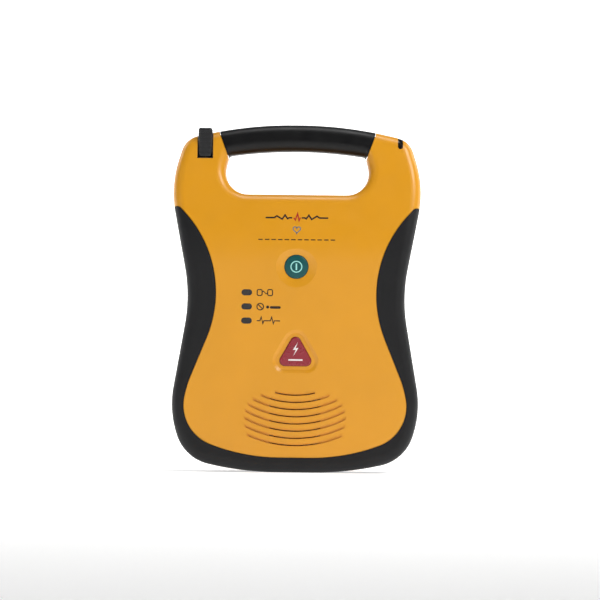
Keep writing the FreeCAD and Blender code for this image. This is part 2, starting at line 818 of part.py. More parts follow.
def status_parts(whole):
    """Window in the right shoulder that follows the case, and the lamp behind it."""
    bar = extrude_from("status_bar", status, f"-{FAR}", "-handle_front + status_depth - 3.5")
    node(common("status_window", whole, bar), "status_window")
    lamp = rod("status_led", "y", "3", "3", ("status_side", "-handle_front + status_depth - 3.4",
                                             "body_height - status_drop + 4"))
    node(lamp, "status_led")


# ---------------------------------------------------------------- speaker

def speaker_parts():
    """Gasket, dished frame, paper cone and magnet behind the grooves."""
    radius, magnet = "speaker_diameter / 2", "magnet_diameter / 2"
    start = ("0", WALL_INSIDE, "speaker_height")
    gasket = turned("speaker_gasket", ring_section(f"{radius} - 3", radius, "0", "1.2"), start)
    node(gasket, "speaker_gasket")
    frame = turned("speaker_frame", [
        (f"{radius} - 3", "1.2", ""), (radius, "1.2", ""), (radius, "2.4", ""), (f"{radius} - 3", "2.4", ""),
        (magnet, "speaker_depth - 9", "4"), (magnet, "speaker_depth - 7.8", ""),
        ("8", "speaker_depth - 7.8", ""), ("8", "speaker_depth - 9", ""),
        (f"{magnet} - 1", "speaker_depth - 9", "4"), (f"{radius} - 4", "2", ""),
    ], start)
    node(frame, "speaker_frame")
    cone = turned("speaker_cone", [
        ("0", "8.6", ""), ("7", "9.4", "8"), (f"{radius} - 6.5", "1.6", "2"), (f"{radius} - 5", "2.4", ""),
        (f"{radius} - 5.6", "2.9", ""), (f"{radius} - 6.8", "2.2", "2"), ("7.4", "10", "8"), ("0", "9.2", ""),
    ], start)
    node(cone, "speaker_cone")
    core = turned("speaker_magnet", [
        ("0", "speaker_depth - 7.8", ""), (magnet, "speaker_depth - 7.8", ""),
        (magnet, "speaker_depth", "0.8"), ("0", "speaker_depth", ""),
    ], start)
    node(core, "speaker_magnet")


def ring_section(inner, outer, low, high):
    return [(inner, low, ""), (outer, low, ""), (outer, high, ""), (inner, high, "")]


# ---------------------------------------------------------------- boards

def board(name):
    """Circuit board on its posts, with its fixing holes."""
    near = f"{FACE} + {name}_depth"
    plate = block(name + "_plate", (f"-{name}_half", near, f"{name}_base"),
                  (f"{name}_half", f"{near} + board_thickness", f"{name}_base + {name}_tall"))
    holes = [rod(f"{name}_hole_{i}", "y", "screw_diameter + 0.2", "board_thickness + 2", (x, f"{near} - 1", z))
             for i, (x, z, depth) in enumerate(board_posts()) if depth == name + "_depth"]
    return cut(name, plate, *holes)


def board_screws(name, depth_name):
    """Pan head screws through a board into its posts."""
    screws = []
    for i, (x, z, depth) in enumerate(board_posts()):
        if depth == depth_name:
            head = f"{FACE} + {depth} + board_thickness"
            screws.append(screw(f"{name}_{i}", (x, head, z), "board_screw_length"))
    return screws


def screw(name, head, length):
    """Screw driven in from the back, its head seated at a point."""
    x, y, z = head
    shank = rod(name + "_shank", "y", "screw_diameter", length, (x, f"({y}) - ({length})", z))
    cap = rod(name + "_cap", "y", "screw_head", "screw_head_tall", (x, y, z))
    drive = block(name + "_drive", (f"{x} - 0.5", f"{y} + screw_head_tall - 1.1", f"{z} - screw_head/2 + 0.9"),
                  (f"{x} + 0.5", f"{y} + screw_head_tall + 1", f"{z} + screw_head/2 - 0.9"))
    cross = block(name + "_cross", (f"{x} - screw_head/2 + 0.9", f"{y} + screw_head_tall - 1.1", f"{z} - 0.5"),
                  (f"{x} + screw_head/2 - 0.9", f"{y} + screw_head_tall + 1", f"{z} + 0.5"))
    return cut(name, fuse(name + "_solid", shank, cap), drive, cross)


def board_parts():
    """Both boards, the link between them, and what stands on the main board."""
    node(board("control_board"), "control_board")
    node(board("main_board"), "main_board")
    node(group("board_screws", *board_screws("control_screw", "control_board_depth"),
               *board_screws("main_screw", "main_board_depth")), "board_screws")
    near = f"({FACE} + main_board_depth)"
    back = f"({near} + board_thickness)"
    link = block("board_link", ("-12", f"{BOARD_FACE} + board_thickness", "150"), ("12", near, "156"))
    node(link, "board_link")
    capacitor = rod("capacitor", "x", "capacitor_diameter", "capacitor_length",
                    ("-capacitor_length/2 - 6", f"{back} + capacitor_diameter/2 + 0.6", "main_board_base + 22"))
    node(capacitor, "shock_capacitor")
    saddles = [block(f"saddle_{i}", (x, back, "main_board_base + 13"),
                     (f"{x} + 5", f"{back} + 9", "main_board_base + 31")) for i, x in enumerate(("-38", "24"))]
    trench = rod("saddle_trench", "x", "capacitor_diameter", "capacitor_length",
                 ("-capacitor_length/2 - 6", f"{back} + capacitor_diameter/2 + 0.6", "main_board_base + 22"))
    node(cut("capacitor_saddles", group("saddle_pair", *saddles), trench), "capacitor_saddles")
    transformer_parts(back)
    relay = block("relay", ("14", back, "main_board_base + 46"), ("42", f"{back} + 20", "main_board_base + 70"))
    node(relay, "discharge_relay")
    chips = []
    for i in range(5):
        left = f"(-main_board_half + 14 + {i} * 1.5 * chip_side)"
        chips.append(block(f"chip_{i}", (left, back, "main_board_base + 86"),
                           (f"{left} + chip_side", f"{back} + chip_tall", "main_board_base + 86 + chip_side")))
    node(group("board_chips", *chips), "board_chips")
    low, high = "main_board_base + 36", "main_board_base + 68"
    base = block("sink_base", ("46", back, low), ("53", f"{back} + 2", high))
    ribs = [block(f"sink_rib_{i}", (f"46.4 + {i} * 2.6", f"{back} + 2", low),
                  (f"47.4 + {i} * 2.6", f"{back} + 16", high)) for i in range(3)]
    node(fuse("heat_sink", base, *ribs), "heat_sink")


def transformer_parts(back):
    """Ferrite core with a window, and the winding through the window."""
    low, left = "main_board_base + 42", "-48"
    side = "transformer_side"
    core = block("core_block", (left, back, low), (f"{left} + {side}", f"{back} + 20", f"{low} + {side}"))
    window = block("core_window", (f"{left} + 5", f"{back} - 1", f"{low} + 6"),
                   (f"{left} + {side} - 5", f"{back} + 21", f"{low} + {side} - 6"))
    leg = block("core_leg", (f"{left} + {side}/2 - 4", f"{back} + 3", f"{low} + 1"),
                (f"{left} + {side}/2 + 4", f"{back} + 17", f"{low} + {side} - 1"))
    node(fuse("transformer_core", cut("core_frame", core, window), leg), "transformer_core")
    coil = block("coil_block", (f"{left} + 5.4", f"{back} + 1", f"{low} + 6.4"),
                 (f"{left} + {side} - 5.4", f"{back} + 19", f"{low} + {side} - 6.4"))
    hole = block("coil_hole", (f"{left} + {side}/2 - 4", f"{back} + 3", low),
                 (f"{left} + {side}/2 + 4", f"{back} + 17", f"{low} + {side}"))
    node(cut("transformer_winding", coil, hole), "transformer_winding")


# ---------------------------------------------------------------- battery

PACK_LEFT = "(battery_inset - body_width/2)"
PACK_RIGHT = f"({PACK_LEFT} + battery_length)"
PACK_BACK = "(battery_thickness - battery_front)"
PACK_TOP = "(battery_base + battery_tall)"


def battery_parts(whole):
    """Battery case and its curved end cap, the cells inside and the contact strips."""
    case = bay_block("battery_outside", "0", PACK_LEFT, PACK_RIGHT)
    room = bay_block("battery_inside", "-battery_wall", f"{PACK_LEFT} - 1", f"{PACK_RIGHT} - battery_wall")
    notch = block("battery_notch", (f"{PACK_LEFT} + 11", "4", f"{PACK_TOP} - battery_wall - 1"),
                  (f"{PACK_LEFT} + 17", "14", f"{PACK_TOP} + 1"))
    node(cut("battery_case", case, room, notch), "battery_case")
    cap = common("battery_end_cap", whole, bay_block("cap_block", "0", "-body_width", PACK_LEFT))
    node(cap, "battery_end_cap")
    pitch = "(cell_diameter + cell_gap)"
    middle = "(battery_thickness / 2 - battery_front)"
    floor = "battery_base + battery_wall + cell_gap"
    cells = [rod(f"cell_{i}", "z", "cell_diameter", "cell_length",
                 (f"{PACK_LEFT} + cell_gap + cell_diameter/2 + {i} * {pitch}", middle, floor))
             for i in range(CELLS)]
    node(group("lithium_cells", *cells), "lithium_cells")
    nine = block("nine_volt", (f"{PACK_LEFT} + {CELLS} * {pitch} + 1", f"{middle} - 12.5", floor),
                 (f"{PACK_RIGHT} - battery_wall - 1", f"{middle} + 12.5", f"{floor} + 48"))
    node(nine, "nine_volt_cell")
    strips, springs = [], []
    for i in range(4):
        up = f"battery_base + 12 + {i} * 10"
        strips.append(block(f"terminal_{i}", (PACK_RIGHT, f"{middle} - 4", up),
                            (f"{PACK_RIGHT} + 0.4", f"{middle} + 4", f"{up} + 5")))
        springs.append(block(f"contact_{i}", (f"{PACK_RIGHT} + 0.8", f"{middle} - 3", f"{up} + 1"),
                             (f"{PACK_RIGHT} + bay_rest", f"{middle} + 3", f"{up} + 4")))
    node(group("battery_terminals", *strips), "battery_terminals")
    node(group("bay_contacts", *springs), "bay_contacts")


def latch_slot():
    """Opening in the top of the bay for the latch hook."""
    half = "(latch_width/2 + 1.5)"
    return block("latch_slot", (f"{PACK_LEFT} + 10.5", f"parting - {half}", PACK_TOP),
                 (f"{PACK_LEFT} + 17.5", f"parting + {half}", f"{PACK_TOP} + 4"))


def latch_parts():
    """Eject button with its spring and guide, and the spring-steel latch that holds the battery."""
    top = f"({PACK_TOP} + bay_clearance + bay_wall)"
    strip = block("latch_strip", (f"{PACK_LEFT} + 8", "parting - latch_width/2", top),
                  (f"{PACK_LEFT} + 62", "parting + latch_width/2", f"{top} + latch_thickness"))
    hook = block("latch_hook", (f"{PACK_LEFT} + 12", "parting - latch_width/2", f"{PACK_TOP} - 1.2"),
                 (f"{PACK_LEFT} + 15.5", "parting + latch_width/2", top))
    node(fuse("battery_latch", strip, hook), "battery_latch")
    guide_at = f"({PACK_LEFT} + 15)"
    guide = block("guide_block", (guide_at, "parting - 7", f"{top} + latch_thickness"),
                  (f"{guide_at} + 2", "parting + 7", "eject_height + 7"))
    guide_hole = rod("guide_hole", "x", "stem_diameter + 0.6", "10",
                     (f"{guide_at} - 2", "parting", "eject_height"))
    node(cut("eject_guide", guide, guide_hole), "eject_guide")
    face_at = "(eject_sunk - (body_width/2 - 6.9))"
    flange_at = f"({face_at} + 7.4)"
    button = turned("eject_button", [
        ("0", "0", ""), ("eject_diameter/2", "0", "1"), ("eject_diameter/2", f"{flange_at} - {face_at}", ""),
        ("eject_diameter/2 + 1.2", f"{flange_at} - {face_at}", ""),
        ("eject_diameter/2 + 1.2", f"{flange_at} - {face_at} + flange_thickness", ""),
        ("stem_diameter/2", f"{flange_at} - {face_at} + flange_thickness", ""),
        ("stem_diameter/2", f"{guide_at} - {face_at} + 1.5", "0.6"), ("0", f"{guide_at} - {face_at} + 1.5", ""),
    ], (face_at, "parting", "eject_height"), "x")
    node(button, "eject_button")
    start = f"{flange_at} + flange_thickness + 0.05"
    node(spring("eject_spring", "8", "0.7", f"{guide_at} - ({start}) - 0.05", 4,
                (start, "parting", "eject_height"), "x"), "eject_spring")


# ---------------------------------------------------------------- pads plug and socket

PLUG_TOP = "(body_height - plug_top_drop)"
PLUG_BASE = f"({PLUG_TOP} - plug_tall)"
FACE_SLOPE = "((body_depth/2 - handle_front) / face_break_drop)"
PLUG_RISE = f"({PLUG_BASE} + plug_tall/2 - body_height + face_break_drop)"
PLUG_FRONT = f"({FACE} + {PLUG_RISE} * {FACE_SLOPE} - plug_proud)"


def plug_block(name, margin, base, top):
    """Block around the plug's section, larger by a margin."""
    return block(name, (f"-plug_side - plug_width/2 - ({margin})", f"{PLUG_FRONT} - ({margin})", base),
                 (f"-plug_side + plug_width/2 + {margin}", f"{PLUG_FRONT} + plug_depth + {margin}", top))


def socket_space(name):
    """Space that the socket fills: open to the front beside the plug, closed in front of the pins."""
    left, right = (f"-plug_side {sign} (plug_width/2 + plug_clearance + socket_wall)" for sign in "-+")
    back = f"{PLUG_FRONT} + plug_depth + plug_clearance + socket_wall"
    step = f"{PLUG_BASE} - plug_clearance - socket_wall"
    upper = block(name + "_upper", (left, f"-{FAR}", step), (right, back, "body_height + 10"))
    floor = f"{PLUG_BASE} - plug_clearance - socket_floor"
    lower = block(name + "_lower", (left, f"{PLUG_FRONT} + socket_set_back", floor), (right, back, step))
    return fuse(name, upper, lower)


def pin_spots():
    return [("-plug_side", f"{PLUG_FRONT} + plug_depth * {share}") for share in ("0.25", "0.5", "0.75")]


def plug_parts(outer):
    """Ribbed plug with three pins, and the socket that it stands in."""
    body = plug_block("plug_blank", "0", PLUG_BASE, PLUG_TOP)
    soft = rounded("plug_soft", body, "plug_round", lambda edge: edge.Length < 60)
    ribs = []
    for i in range(5):
        up = f"{PLUG_BASE} + ({i} + 1) * rib_pitch"
        ribs.append(block(f"rib_gap_{i}", ("-plug_side - plug_width/2 - 1", f"{PLUG_FRONT} - 1", up),
                          ("-plug_side + plug_width/2 + 1", f"{PLUG_FRONT} + rib_depth", f"{up} + rib_gap")))
    node(cut("plug_body", soft, *ribs), "plug_body")
    pins = [rod(f"pin_{i}", "z", "pin_diameter", "pin_length", (x, y, f"{PLUG_BASE} - pin_length"))
            for i, (x, y) in enumerate(pin_spots())]
    node(group("plug_pins", *pins), "plug_pins")
    bores = [rod(f"pin_bore_{i}", "z", "pin_diameter + 2 * pin_clearance", "pin_length + 1.2",
                 (x, y, f"{PLUG_BASE} - pin_length - 0.8")) for i, (x, y) in enumerate(pin_spots())]
    half = "(plug_width/2 + plug_clearance)"
    room = block("socket_room", (f"-plug_side - {half}", f"-{FAR}", f"{PLUG_BASE} - plug_clearance"),
                 (f"-plug_side + {half}", f"{PLUG_FRONT} + plug_depth + plug_clearance", "body_height + 10"))
    socket = cut("pads_socket", common("socket_piece", outer, socket_space("socket_block")), room, *bores)
    node(socket, "pads_socket")
    low = f"{PLUG_BASE} - pin_length - 0.8"
    contacts = [rod(f"socket_contact_{i}", "z", "pin_diameter", "0.6", (x, y, low))
                for i, (x, y) in enumerate(pin_spots())]
    node(group("socket_contacts", *contacts), "socket_contacts")


# ---------------------------------------------------------------- back of the case

STORE = [
    ("-store_half_width", "store_base", "store_round"),
    ("store_half_width", "store_base", "store_round"),
    ("store_half_width", "store_base + store_tall", "store_round"),
    ("-store_half_width", "store_base + store_tall", "store_round"),
]
store_outline = outline("store_outline", FRONT, STORE)


def store_cut():
    """Recess in the back that holds the folded pads pouch."""
    item = extrude("store_room", store_outline, ALONG_Y, "0", FAR)
    item.Placement = Placement()
    place(item, ("0", f"{BACK} - store_depth", "0"))
    return item


def store_lips():
    """Two lips on each side that keep the pouch in its recess."""
    lips = []
    half = "(lip_reach/2 + 0.5)"
    for i, up in enumerate(("store_base + store_tall * 0.2", "store_base + store_tall * 0.8")):
        for side in "+-":
            middle = f"{side}1 * (store_half_width - lip_reach/2)"
            lips.append(block(f"lip_{side}_{i}",
                              (f"{middle} - {half}", f"{BACK} - lip_thickness", f"{up} - lip_width/2"),
                              (f"{middle} + {half}", BACK, f"{up} + lip_width/2")))
    return lips


def label_cut():
    return block("label_recess", ("-label_half_width - 0.2", f"{BACK} - label_thickness", "label_base - 0.2"),
                 ("label_half_width + 0.2", FAR, "label_base + label_tall + 0.2"))


def back_parts():
    """Blank rating plate and the screws that close the case."""
    node(block("rating_plate", ("-label_half_width", f"{BACK} - label_thickness", "label_base"),
               ("label_half_width", BACK, "label_base + label_tall")), "rating_plate")
    screws = [screw(f"case_screw_{side}_{i}", (f"{side}1 * {x}", "parting + screw_seat", z), "screw_length")
              for i, (x, z) in enumerate(CASE_SCREWS) for side in "+-"]
    node(group("case_screws", *screws), "case_screws")


# ---------------------------------------------------------------- build, check and write

def build():
    whole, outer, core = make_case_blanks()
    cavity = make_cavity()
    make_covers(outer, core, cavity)
    on_off_parts()
    shock_parts()
    lens_parts()
    status_parts(whole)
    speaker_parts()
    board_parts()
    battery_parts(whole)
    latch_parts()
    plug_parts(outer)
    back_parts()
    doc.recompute()


def check():
    """Stop when any object failed or any sub-part has no valid solid."""
    failed = [item.Name for item in doc.Objects if {"Invalid", "Error"} & set(item.State)]
    bad = [name for name, item in NODES
           if item.Shape.isNull() or not item.Shape.isValid() or not item.Shape.Solids]
    if failed or bad:
        raise RuntimeError(f"failed objects {failed}, bad sub-parts {bad}")


def write():
    os.makedirs("parts", exist_ok=True)
    for name, item in NODES:
        item.Shape.exportStep(f"parts/{name}.step")
        box = item.Shape.BoundBox
        print(f"{name:22s} solids {len(item.Shape.Solids):2d} volume {item.Shape.Volume:10.0f} "
              f"x {box.XMin:.1f}..{box.XMax:.1f} y {box.YMin:.1f}..{box.YMax:.1f} "
              f"z {box.ZMin:.1f}..{box.ZMax:.1f}")


build()
check()
write()
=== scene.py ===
"""Looks for a portable defibrillator: finishes, printed symbols, trim and a studio."""
import json
import math

import bmesh
import bpy
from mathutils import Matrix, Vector
from mathutils.bvhtree import BVHTree


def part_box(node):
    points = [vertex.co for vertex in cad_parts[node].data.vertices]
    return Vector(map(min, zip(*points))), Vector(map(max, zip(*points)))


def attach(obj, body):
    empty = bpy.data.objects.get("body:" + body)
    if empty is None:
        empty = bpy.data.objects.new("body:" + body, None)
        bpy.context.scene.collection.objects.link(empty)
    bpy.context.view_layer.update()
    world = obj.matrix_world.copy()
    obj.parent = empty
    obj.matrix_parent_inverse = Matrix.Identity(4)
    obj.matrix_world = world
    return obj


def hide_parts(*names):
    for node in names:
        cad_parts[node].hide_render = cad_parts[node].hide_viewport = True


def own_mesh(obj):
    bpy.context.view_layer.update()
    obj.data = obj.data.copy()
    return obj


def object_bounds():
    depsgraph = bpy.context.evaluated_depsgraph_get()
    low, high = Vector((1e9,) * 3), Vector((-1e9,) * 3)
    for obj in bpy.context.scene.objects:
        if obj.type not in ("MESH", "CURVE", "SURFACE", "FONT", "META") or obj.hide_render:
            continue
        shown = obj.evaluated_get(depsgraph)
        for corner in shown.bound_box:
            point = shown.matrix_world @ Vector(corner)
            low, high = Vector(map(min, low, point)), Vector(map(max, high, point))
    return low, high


bl_info = {
    "name": "Defibrillator finishes",
    "version": (1, 0, 0),
    "blender": (4, 5, 0),
    "location": "3D View > Sidebar > Defibrillator",
    "description": "Finishes, printed symbols, trim and studio for a portable defibrillator",
    "category": "Object",
}

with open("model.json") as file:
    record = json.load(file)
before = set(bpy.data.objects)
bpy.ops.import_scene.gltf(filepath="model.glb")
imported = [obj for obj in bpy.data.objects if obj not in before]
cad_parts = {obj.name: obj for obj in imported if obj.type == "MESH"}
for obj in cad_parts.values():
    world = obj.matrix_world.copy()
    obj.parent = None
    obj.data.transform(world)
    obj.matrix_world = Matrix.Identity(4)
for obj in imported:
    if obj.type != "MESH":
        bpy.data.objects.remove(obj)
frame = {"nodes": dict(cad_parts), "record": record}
bpy.context.view_layer.update()
CAD_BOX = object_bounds()
NODES = frame["nodes"]
MM = 0.001
PLATE_INK = 0.02 * MM  # height of screen printing on the rating plate


# ---------------------------------------------------------------- settings

class ColourSettings(bpy.types.PropertyGroup):
    """Colours that a user would change, as sRGB hex."""

    shell: bpy.props.StringProperty(name="Shell", description="Moulded case", default="#E09A18")
    bumper: bpy.props.StringProperty(
        name="Bumper", description="Side and base rubber", default="#111113")
    grip: bpy.props.StringProperty(name="Grip", description="Handle rubber", default="#0A0A0B")
    on_off: bpy.props.StringProperty(
        name="On/off button", description="Button cap", default="#0A5152")
    on_off_mark: bpy.props.StringProperty(
        name="On/off symbol", description="Inlaid symbol", default="#9FE3DC")
    shock: bpy.props.StringProperty(
        name="Shock button", description="Button cap", default="#8E0A22")
    print_dark: bpy.props.StringProperty(
        name="Print", description="Pad-printed symbols", default="#1C1006")
    print_red: bpy.props.StringProperty(
        name="Accent print", description="Pad-printed pulse peak", default="#B3261A")


class PrintSettings(bpy.types.PropertyGroup):
    """Sizes of the printed symbols."""

    ring: bpy.props.FloatProperty(
        name="On/off ring", description="Outer radius of the on/off symbol",
        default=5.1 * MM, unit="LENGTH")
    stroke: bpy.props.FloatProperty(
        name="Stroke", description="Line width of the button symbols",
        default=0.9 * MM, unit="LENGTH")
    fine_stroke: bpy.props.FloatProperty(
        name="Fine stroke", description="Line width of the small symbols",
        default=0.9 * MM, unit="LENGTH")
    symbol: bpy.props.FloatProperty(
        name="Small symbol", description="Height of the symbols beside the lamps",
        default=6.4 * MM, unit="LENGTH")
    pulse: bpy.props.FloatProperty(
        name="Pulse line", description="Length of the pulse line under the handle",
        default=54 * MM, unit="LENGTH")
    pulse_height: bpy.props.FloatProperty(
        name="Pulse height", description="Height of the pulse line",
        default=219.6 * MM, unit="LENGTH")
    rule: bpy.props.FloatProperty(
        name="Rule", description="Length of the broken rule above the buttons",
        default=68 * MM, unit="LENGTH")
    raised: bpy.props.FloatProperty(
        name="Ink", description="Height of the ink above its surface",
        default=0.05 * MM, unit="LENGTH")


class StudioSettings(bpy.types.PropertyGroup):
    """Camera and light."""

    distance: bpy.props.FloatProperty(
        name="Camera distance", description="From the face of the case",
        default=6.0, unit="LENGTH")
    span: bpy.props.FloatProperty(
        name="Field", description="Width that the view covers at the face",
        default=516.6 * MM, unit="LENGTH")
    roll: bpy.props.FloatProperty(
        name="Roll", description="Camera roll", default=math.radians(-0.62),
        subtype="ANGLE")
    key: bpy.props.FloatProperty(name="Key light", description="Power in watts", default=20.5)
    fill: bpy.props.FloatProperty(name="Fill light", description="Power in watts", default=2)
    top: bpy.props.FloatProperty(name="Top light", description="Power in watts", default=6)
    wall: bpy.props.FloatProperty(
        name="Wall lights", description="Power of each in watts", default=30)
    air: bpy.props.FloatProperty(
        name="Room light", description="Brightness of the room", default=0.1)


# ---------------------------------------------------------------- material helpers

def linear(hex_colour):
    """Linear colour with alpha from an sRGB hex value."""
    text = hex_colour.lstrip("#")
    parts = [int(text[i:i + 2], 16) / 255 for i in (0, 2, 4)]
    return tuple(p / 12.92 if p <= 0.04045 else ((p + 0.055) / 1.055) ** 2.4 for p in parts) + (1,)


def per_mm(size):
    """Texture scale, per metre, of a pattern with features of a size in millimetres."""
    return 1 / (size * MM)


def add_node(tree, kind, links=None, **settings):
    """Adds a node, gives its sockets and properties values, and links its inputs."""
    item = tree.nodes.new(kind)
    for name, setting in settings.items():
        if name in item.inputs:
            item.inputs[name].default_value = setting
        else:
            setattr(item, name, setting)
    for name, source in (links or {}).items():
        tree.links.new(source, item.inputs[name])
    return item


def blank_material(name):
    """Empty node material: its tree and object-space coordinates."""
    material = bpy.data.materials.new(name)
    material.use_nodes = True
    tree = material.node_tree
    tree.nodes.clear()
    place = add_node(tree, "ShaderNodeTexCoord").outputs["Object"]
    return material, tree, place


def finish_material(material, tree, shader):
    """Links a shader to the material's output."""
    add_node(tree, "ShaderNodeOutputMaterial", {"Surface": shader})
    return material


def varied(tree, place, colour, size, amount):
    """A colour that drifts a little lighter and darker over a size in millimetres."""
    drift = add_node(tree, "ShaderNodeTexNoise", {"Vector": place}, Scale=per_mm(size), Detail=3.0)
    ramp = add_node(tree, "ShaderNodeValToRGB", {"Fac": drift.outputs["Fac"]})
    low, high = ramp.color_ramp.elements
    low.position, high.position = 0.3, 0.7
    base = linear(colour)
    low.color = tuple(c * (1 - amount) for c in base[:3]) + (1,)
    high.color = tuple(min(1, c * (1 + amount)) for c in base[:3]) + (1,)
    return ramp.outputs["Color"]


def rough_range(tree, place, size, low, high):
    """Roughness that wanders between two values, as handling leaves it."""
    drift = add_node(tree, "ShaderNodeTexNoise", {"Vector": place}, Scale=per_mm(size), Detail=4.0)
    scale = add_node(tree, "ShaderNodeMapRange", {"Value": drift.outputs["Fac"]})
    for socket, number in (("From Min", 0.3), ("From Max", 0.7), ("To Min", low), ("To Max", high)):
        scale.inputs[socket].default_value = number
    return scale.outputs["Result"]


def grain(tree, place, size, height, strength=1.0):
    """Bump of a moulded or cast grain; both measures are in millimetres."""
    cells = add_node(tree, "ShaderNodeTexNoise", {"Vector": place}, Scale=per_mm(size), Detail=2.0)
    bump = add_node(tree, "ShaderNodeBump", {"Height": cells.outputs["Fac"]}, Strength=strength,
                    Distance=height * MM)
    return bump.outputs["Normal"]


def moulded(name, colour, roughness, grain_size=1.0, grain_height=0.02, ior=1.5, drift=0.04,
            drift_size=35, coat=0.0, specular=0.5):
    """A moulded surface: slight colour drift, handling marks in the gloss, and tool grain."""
    material, tree, place = blank_material(name)
    shader = add_node(tree, "ShaderNodeBsdfPrincipled", {
        "Base Color": varied(tree, place, colour, drift_size, drift),
        "Roughness": rough_range(tree, place, 12, roughness * 0.88, roughness * 1.12),
        "Normal": grain(tree, place, grain_size, grain_height),
    }, IOR=ior)
    shader.inputs["Specular IOR Level"].default_value = specular
    shader.inputs["Coat Weight"].default_value = coat
    shader.inputs["Coat Roughness"].default_value = 0.15
    return finish_material(material, tree, shader.outputs["BSDF"])


def metal(name, colour, roughness, stretch=(1, 1, 1), size=0.4, height=0.004):
    """A metal with fine drawing, turning or rolling lines along its stretched axis."""
    material, tree, place = blank_material(name)
    lines = add_node(tree, "ShaderNodeMapping", {"Vector": place})
    lines.inputs["Scale"].default_value = stretch
    streak = lines.outputs["Vector"]
    shader = add_node(tree, "ShaderNodeBsdfPrincipled", {
        "Base Color": varied(tree, streak, colour, 3, 0.06),
        "Roughness": rough_range(tree, streak, 1.5, roughness * 0.8, roughness * 1.2),
        "Normal": grain(tree, streak, size, height),
    }, Metallic=1.0)
    return finish_material(material, tree, shader.outputs["BSDF"])


# ---------------------------------------------------------------- materials of the outside

def spark_eroded_abs(colours):
    """ABS from a spark-eroded mould: a satin skin with a fine pebble that breaks up highlights.

    The pebble is about 0.2 mm on the real case and is drawn at 0.9 mm so that it shows.
    """
    return moulded("spark_eroded_abs", colours.shell, 0.34, 0.9, 0.012, 1.53, 0.03, 60)


def overmoulded_rubber(colours):
    """Thermoplastic rubber moulded over the case: matt, slightly chalky, soft at its edges."""
    material, tree, place = blank_material("overmoulded_rubber")
    dusty = varied(tree, place, colours.bumper, 25, 0.10)
    shader = add_node(tree, "ShaderNodeBsdfPrincipled", {
        "Base Color": dusty,
        "Roughness": rough_range(tree, place, 18, 0.5, 0.62),
        "Normal": grain(tree, place, 0.8, 0.02),
    }, IOR=1.5)
    shader.inputs["Specular IOR Level"].default_value = 0.3
    shader.inputs["Sheen Weight"].default_value = 0.06
    shader.inputs["Sheen Roughness"].default_value = 0.5
    return finish_material(material, tree, shader.outputs["BSDF"])


def satin_grip_rubber(colours):
    """Softer rubber polished by hands: darker, with a broad satin highlight along the top."""
    return moulded("satin_grip_rubber", colours.grip, 0.4, 0.7, 0.012, 1.5, 0.08, 20, specular=0.3)


def silicone_button(colours):
    """Pigmented silicone cap: smooth, slightly translucent at its rim, low gloss."""
    material, tree, place = blank_material("silicone_button")
    shader = add_node(tree, "ShaderNodeBsdfPrincipled", {
        "Base Color": varied(tree, place, colours.on_off, 8, 0.06),
        "Roughness": rough_range(tree, place, 5, 0.3, 0.42),
        "Normal": grain(tree, place, 0.6, 0.006),
    }, IOR=1.41)
    shader.inputs["Subsurface Weight"].default_value = 0.08
    shader.inputs["Subsurface Radius"].default_value = (0.2, 0.6, 0.55)
    shader.inputs["Subsurface Scale"].default_value = 0.5 * MM
    return finish_material(material, tree, shader.outputs["BSDF"])


def polished_shock_cap(colours):
    """Polycarbonate cap from a polished mould: deep colour under a clear, soft gloss."""
    return moulded("polished_shock_cap", colours.shock, 0.28, 1.2, 0.004, 1.58, 0.05, 10, coat=0.25)


def smoked_acrylic():
    """Smoked lens over a lamp: nearly black until lit, with a sharp reflection."""
    return moulded("smoked_acrylic", "#0B0A0A", 0.12, 1.5, 0.002, 1.49, 0.1, 6, coat=0.5)


def glass_filled_nylon():
    """Glass-filled nylon plug: dull black with fine flow marks."""
    return moulded("glass_filled_nylon", "#1A1A1C", 0.34, 0.5, 0.012, 1.53, 0.1, 8)


def pad_print(name, colour):
    """Pad-printing ink: dense and matt."""
    return moulded(name, colour, 0.55, 0.3, 0.003, 1.5, 0.05, 3)


def polyester_label():
    """Brushed silver polyester film of a rating plate."""
    return metal("polyester_label", "#B9BABB", 0.38, (1, 1, 14), 0.35, 0.003)


# ---------------------------------------------------------------- materials of the inside

def solder_masked_laminate():
    """Glass-fibre board under green solder mask, with the copper tracks showing as paler lines."""
    material, tree, place = blank_material("solder_masked_laminate")
    tracks = add_node(tree, "ShaderNodeTexBrick", {"Vector": place}, Scale=per_mm(1))
    tracks.offset = 0.37
    for socket, number in (("Mortar Size", 0.35), ("Brick Width", 7.0), ("Row Height", 2.6),
                           ("Mortar Smooth", 0.2)):
        tracks.inputs[socket].default_value = number
    tracks.inputs["Color1"].default_value = linear("#0D5B35")
    tracks.inputs["Color2"].default_value = linear("#0B4F2E")
    tracks.inputs["Mortar"].default_value = linear("#2E8A57")
    bump = add_node(tree, "ShaderNodeBump", {"Height": tracks.outputs["Fac"]}, Strength=0.6,
                    Distance=0.03 * MM)
    shader = add_node(tree, "ShaderNodeBsdfPrincipled", {
        "Base Color": tracks.outputs["Color"], "Normal": bump.outputs["Normal"],
        "Roughness": rough_range(tree, place, 6, 0.28, 0.4),
    }, IOR=1.5)
    return finish_material(material, tree, shader.outputs["BSDF"])


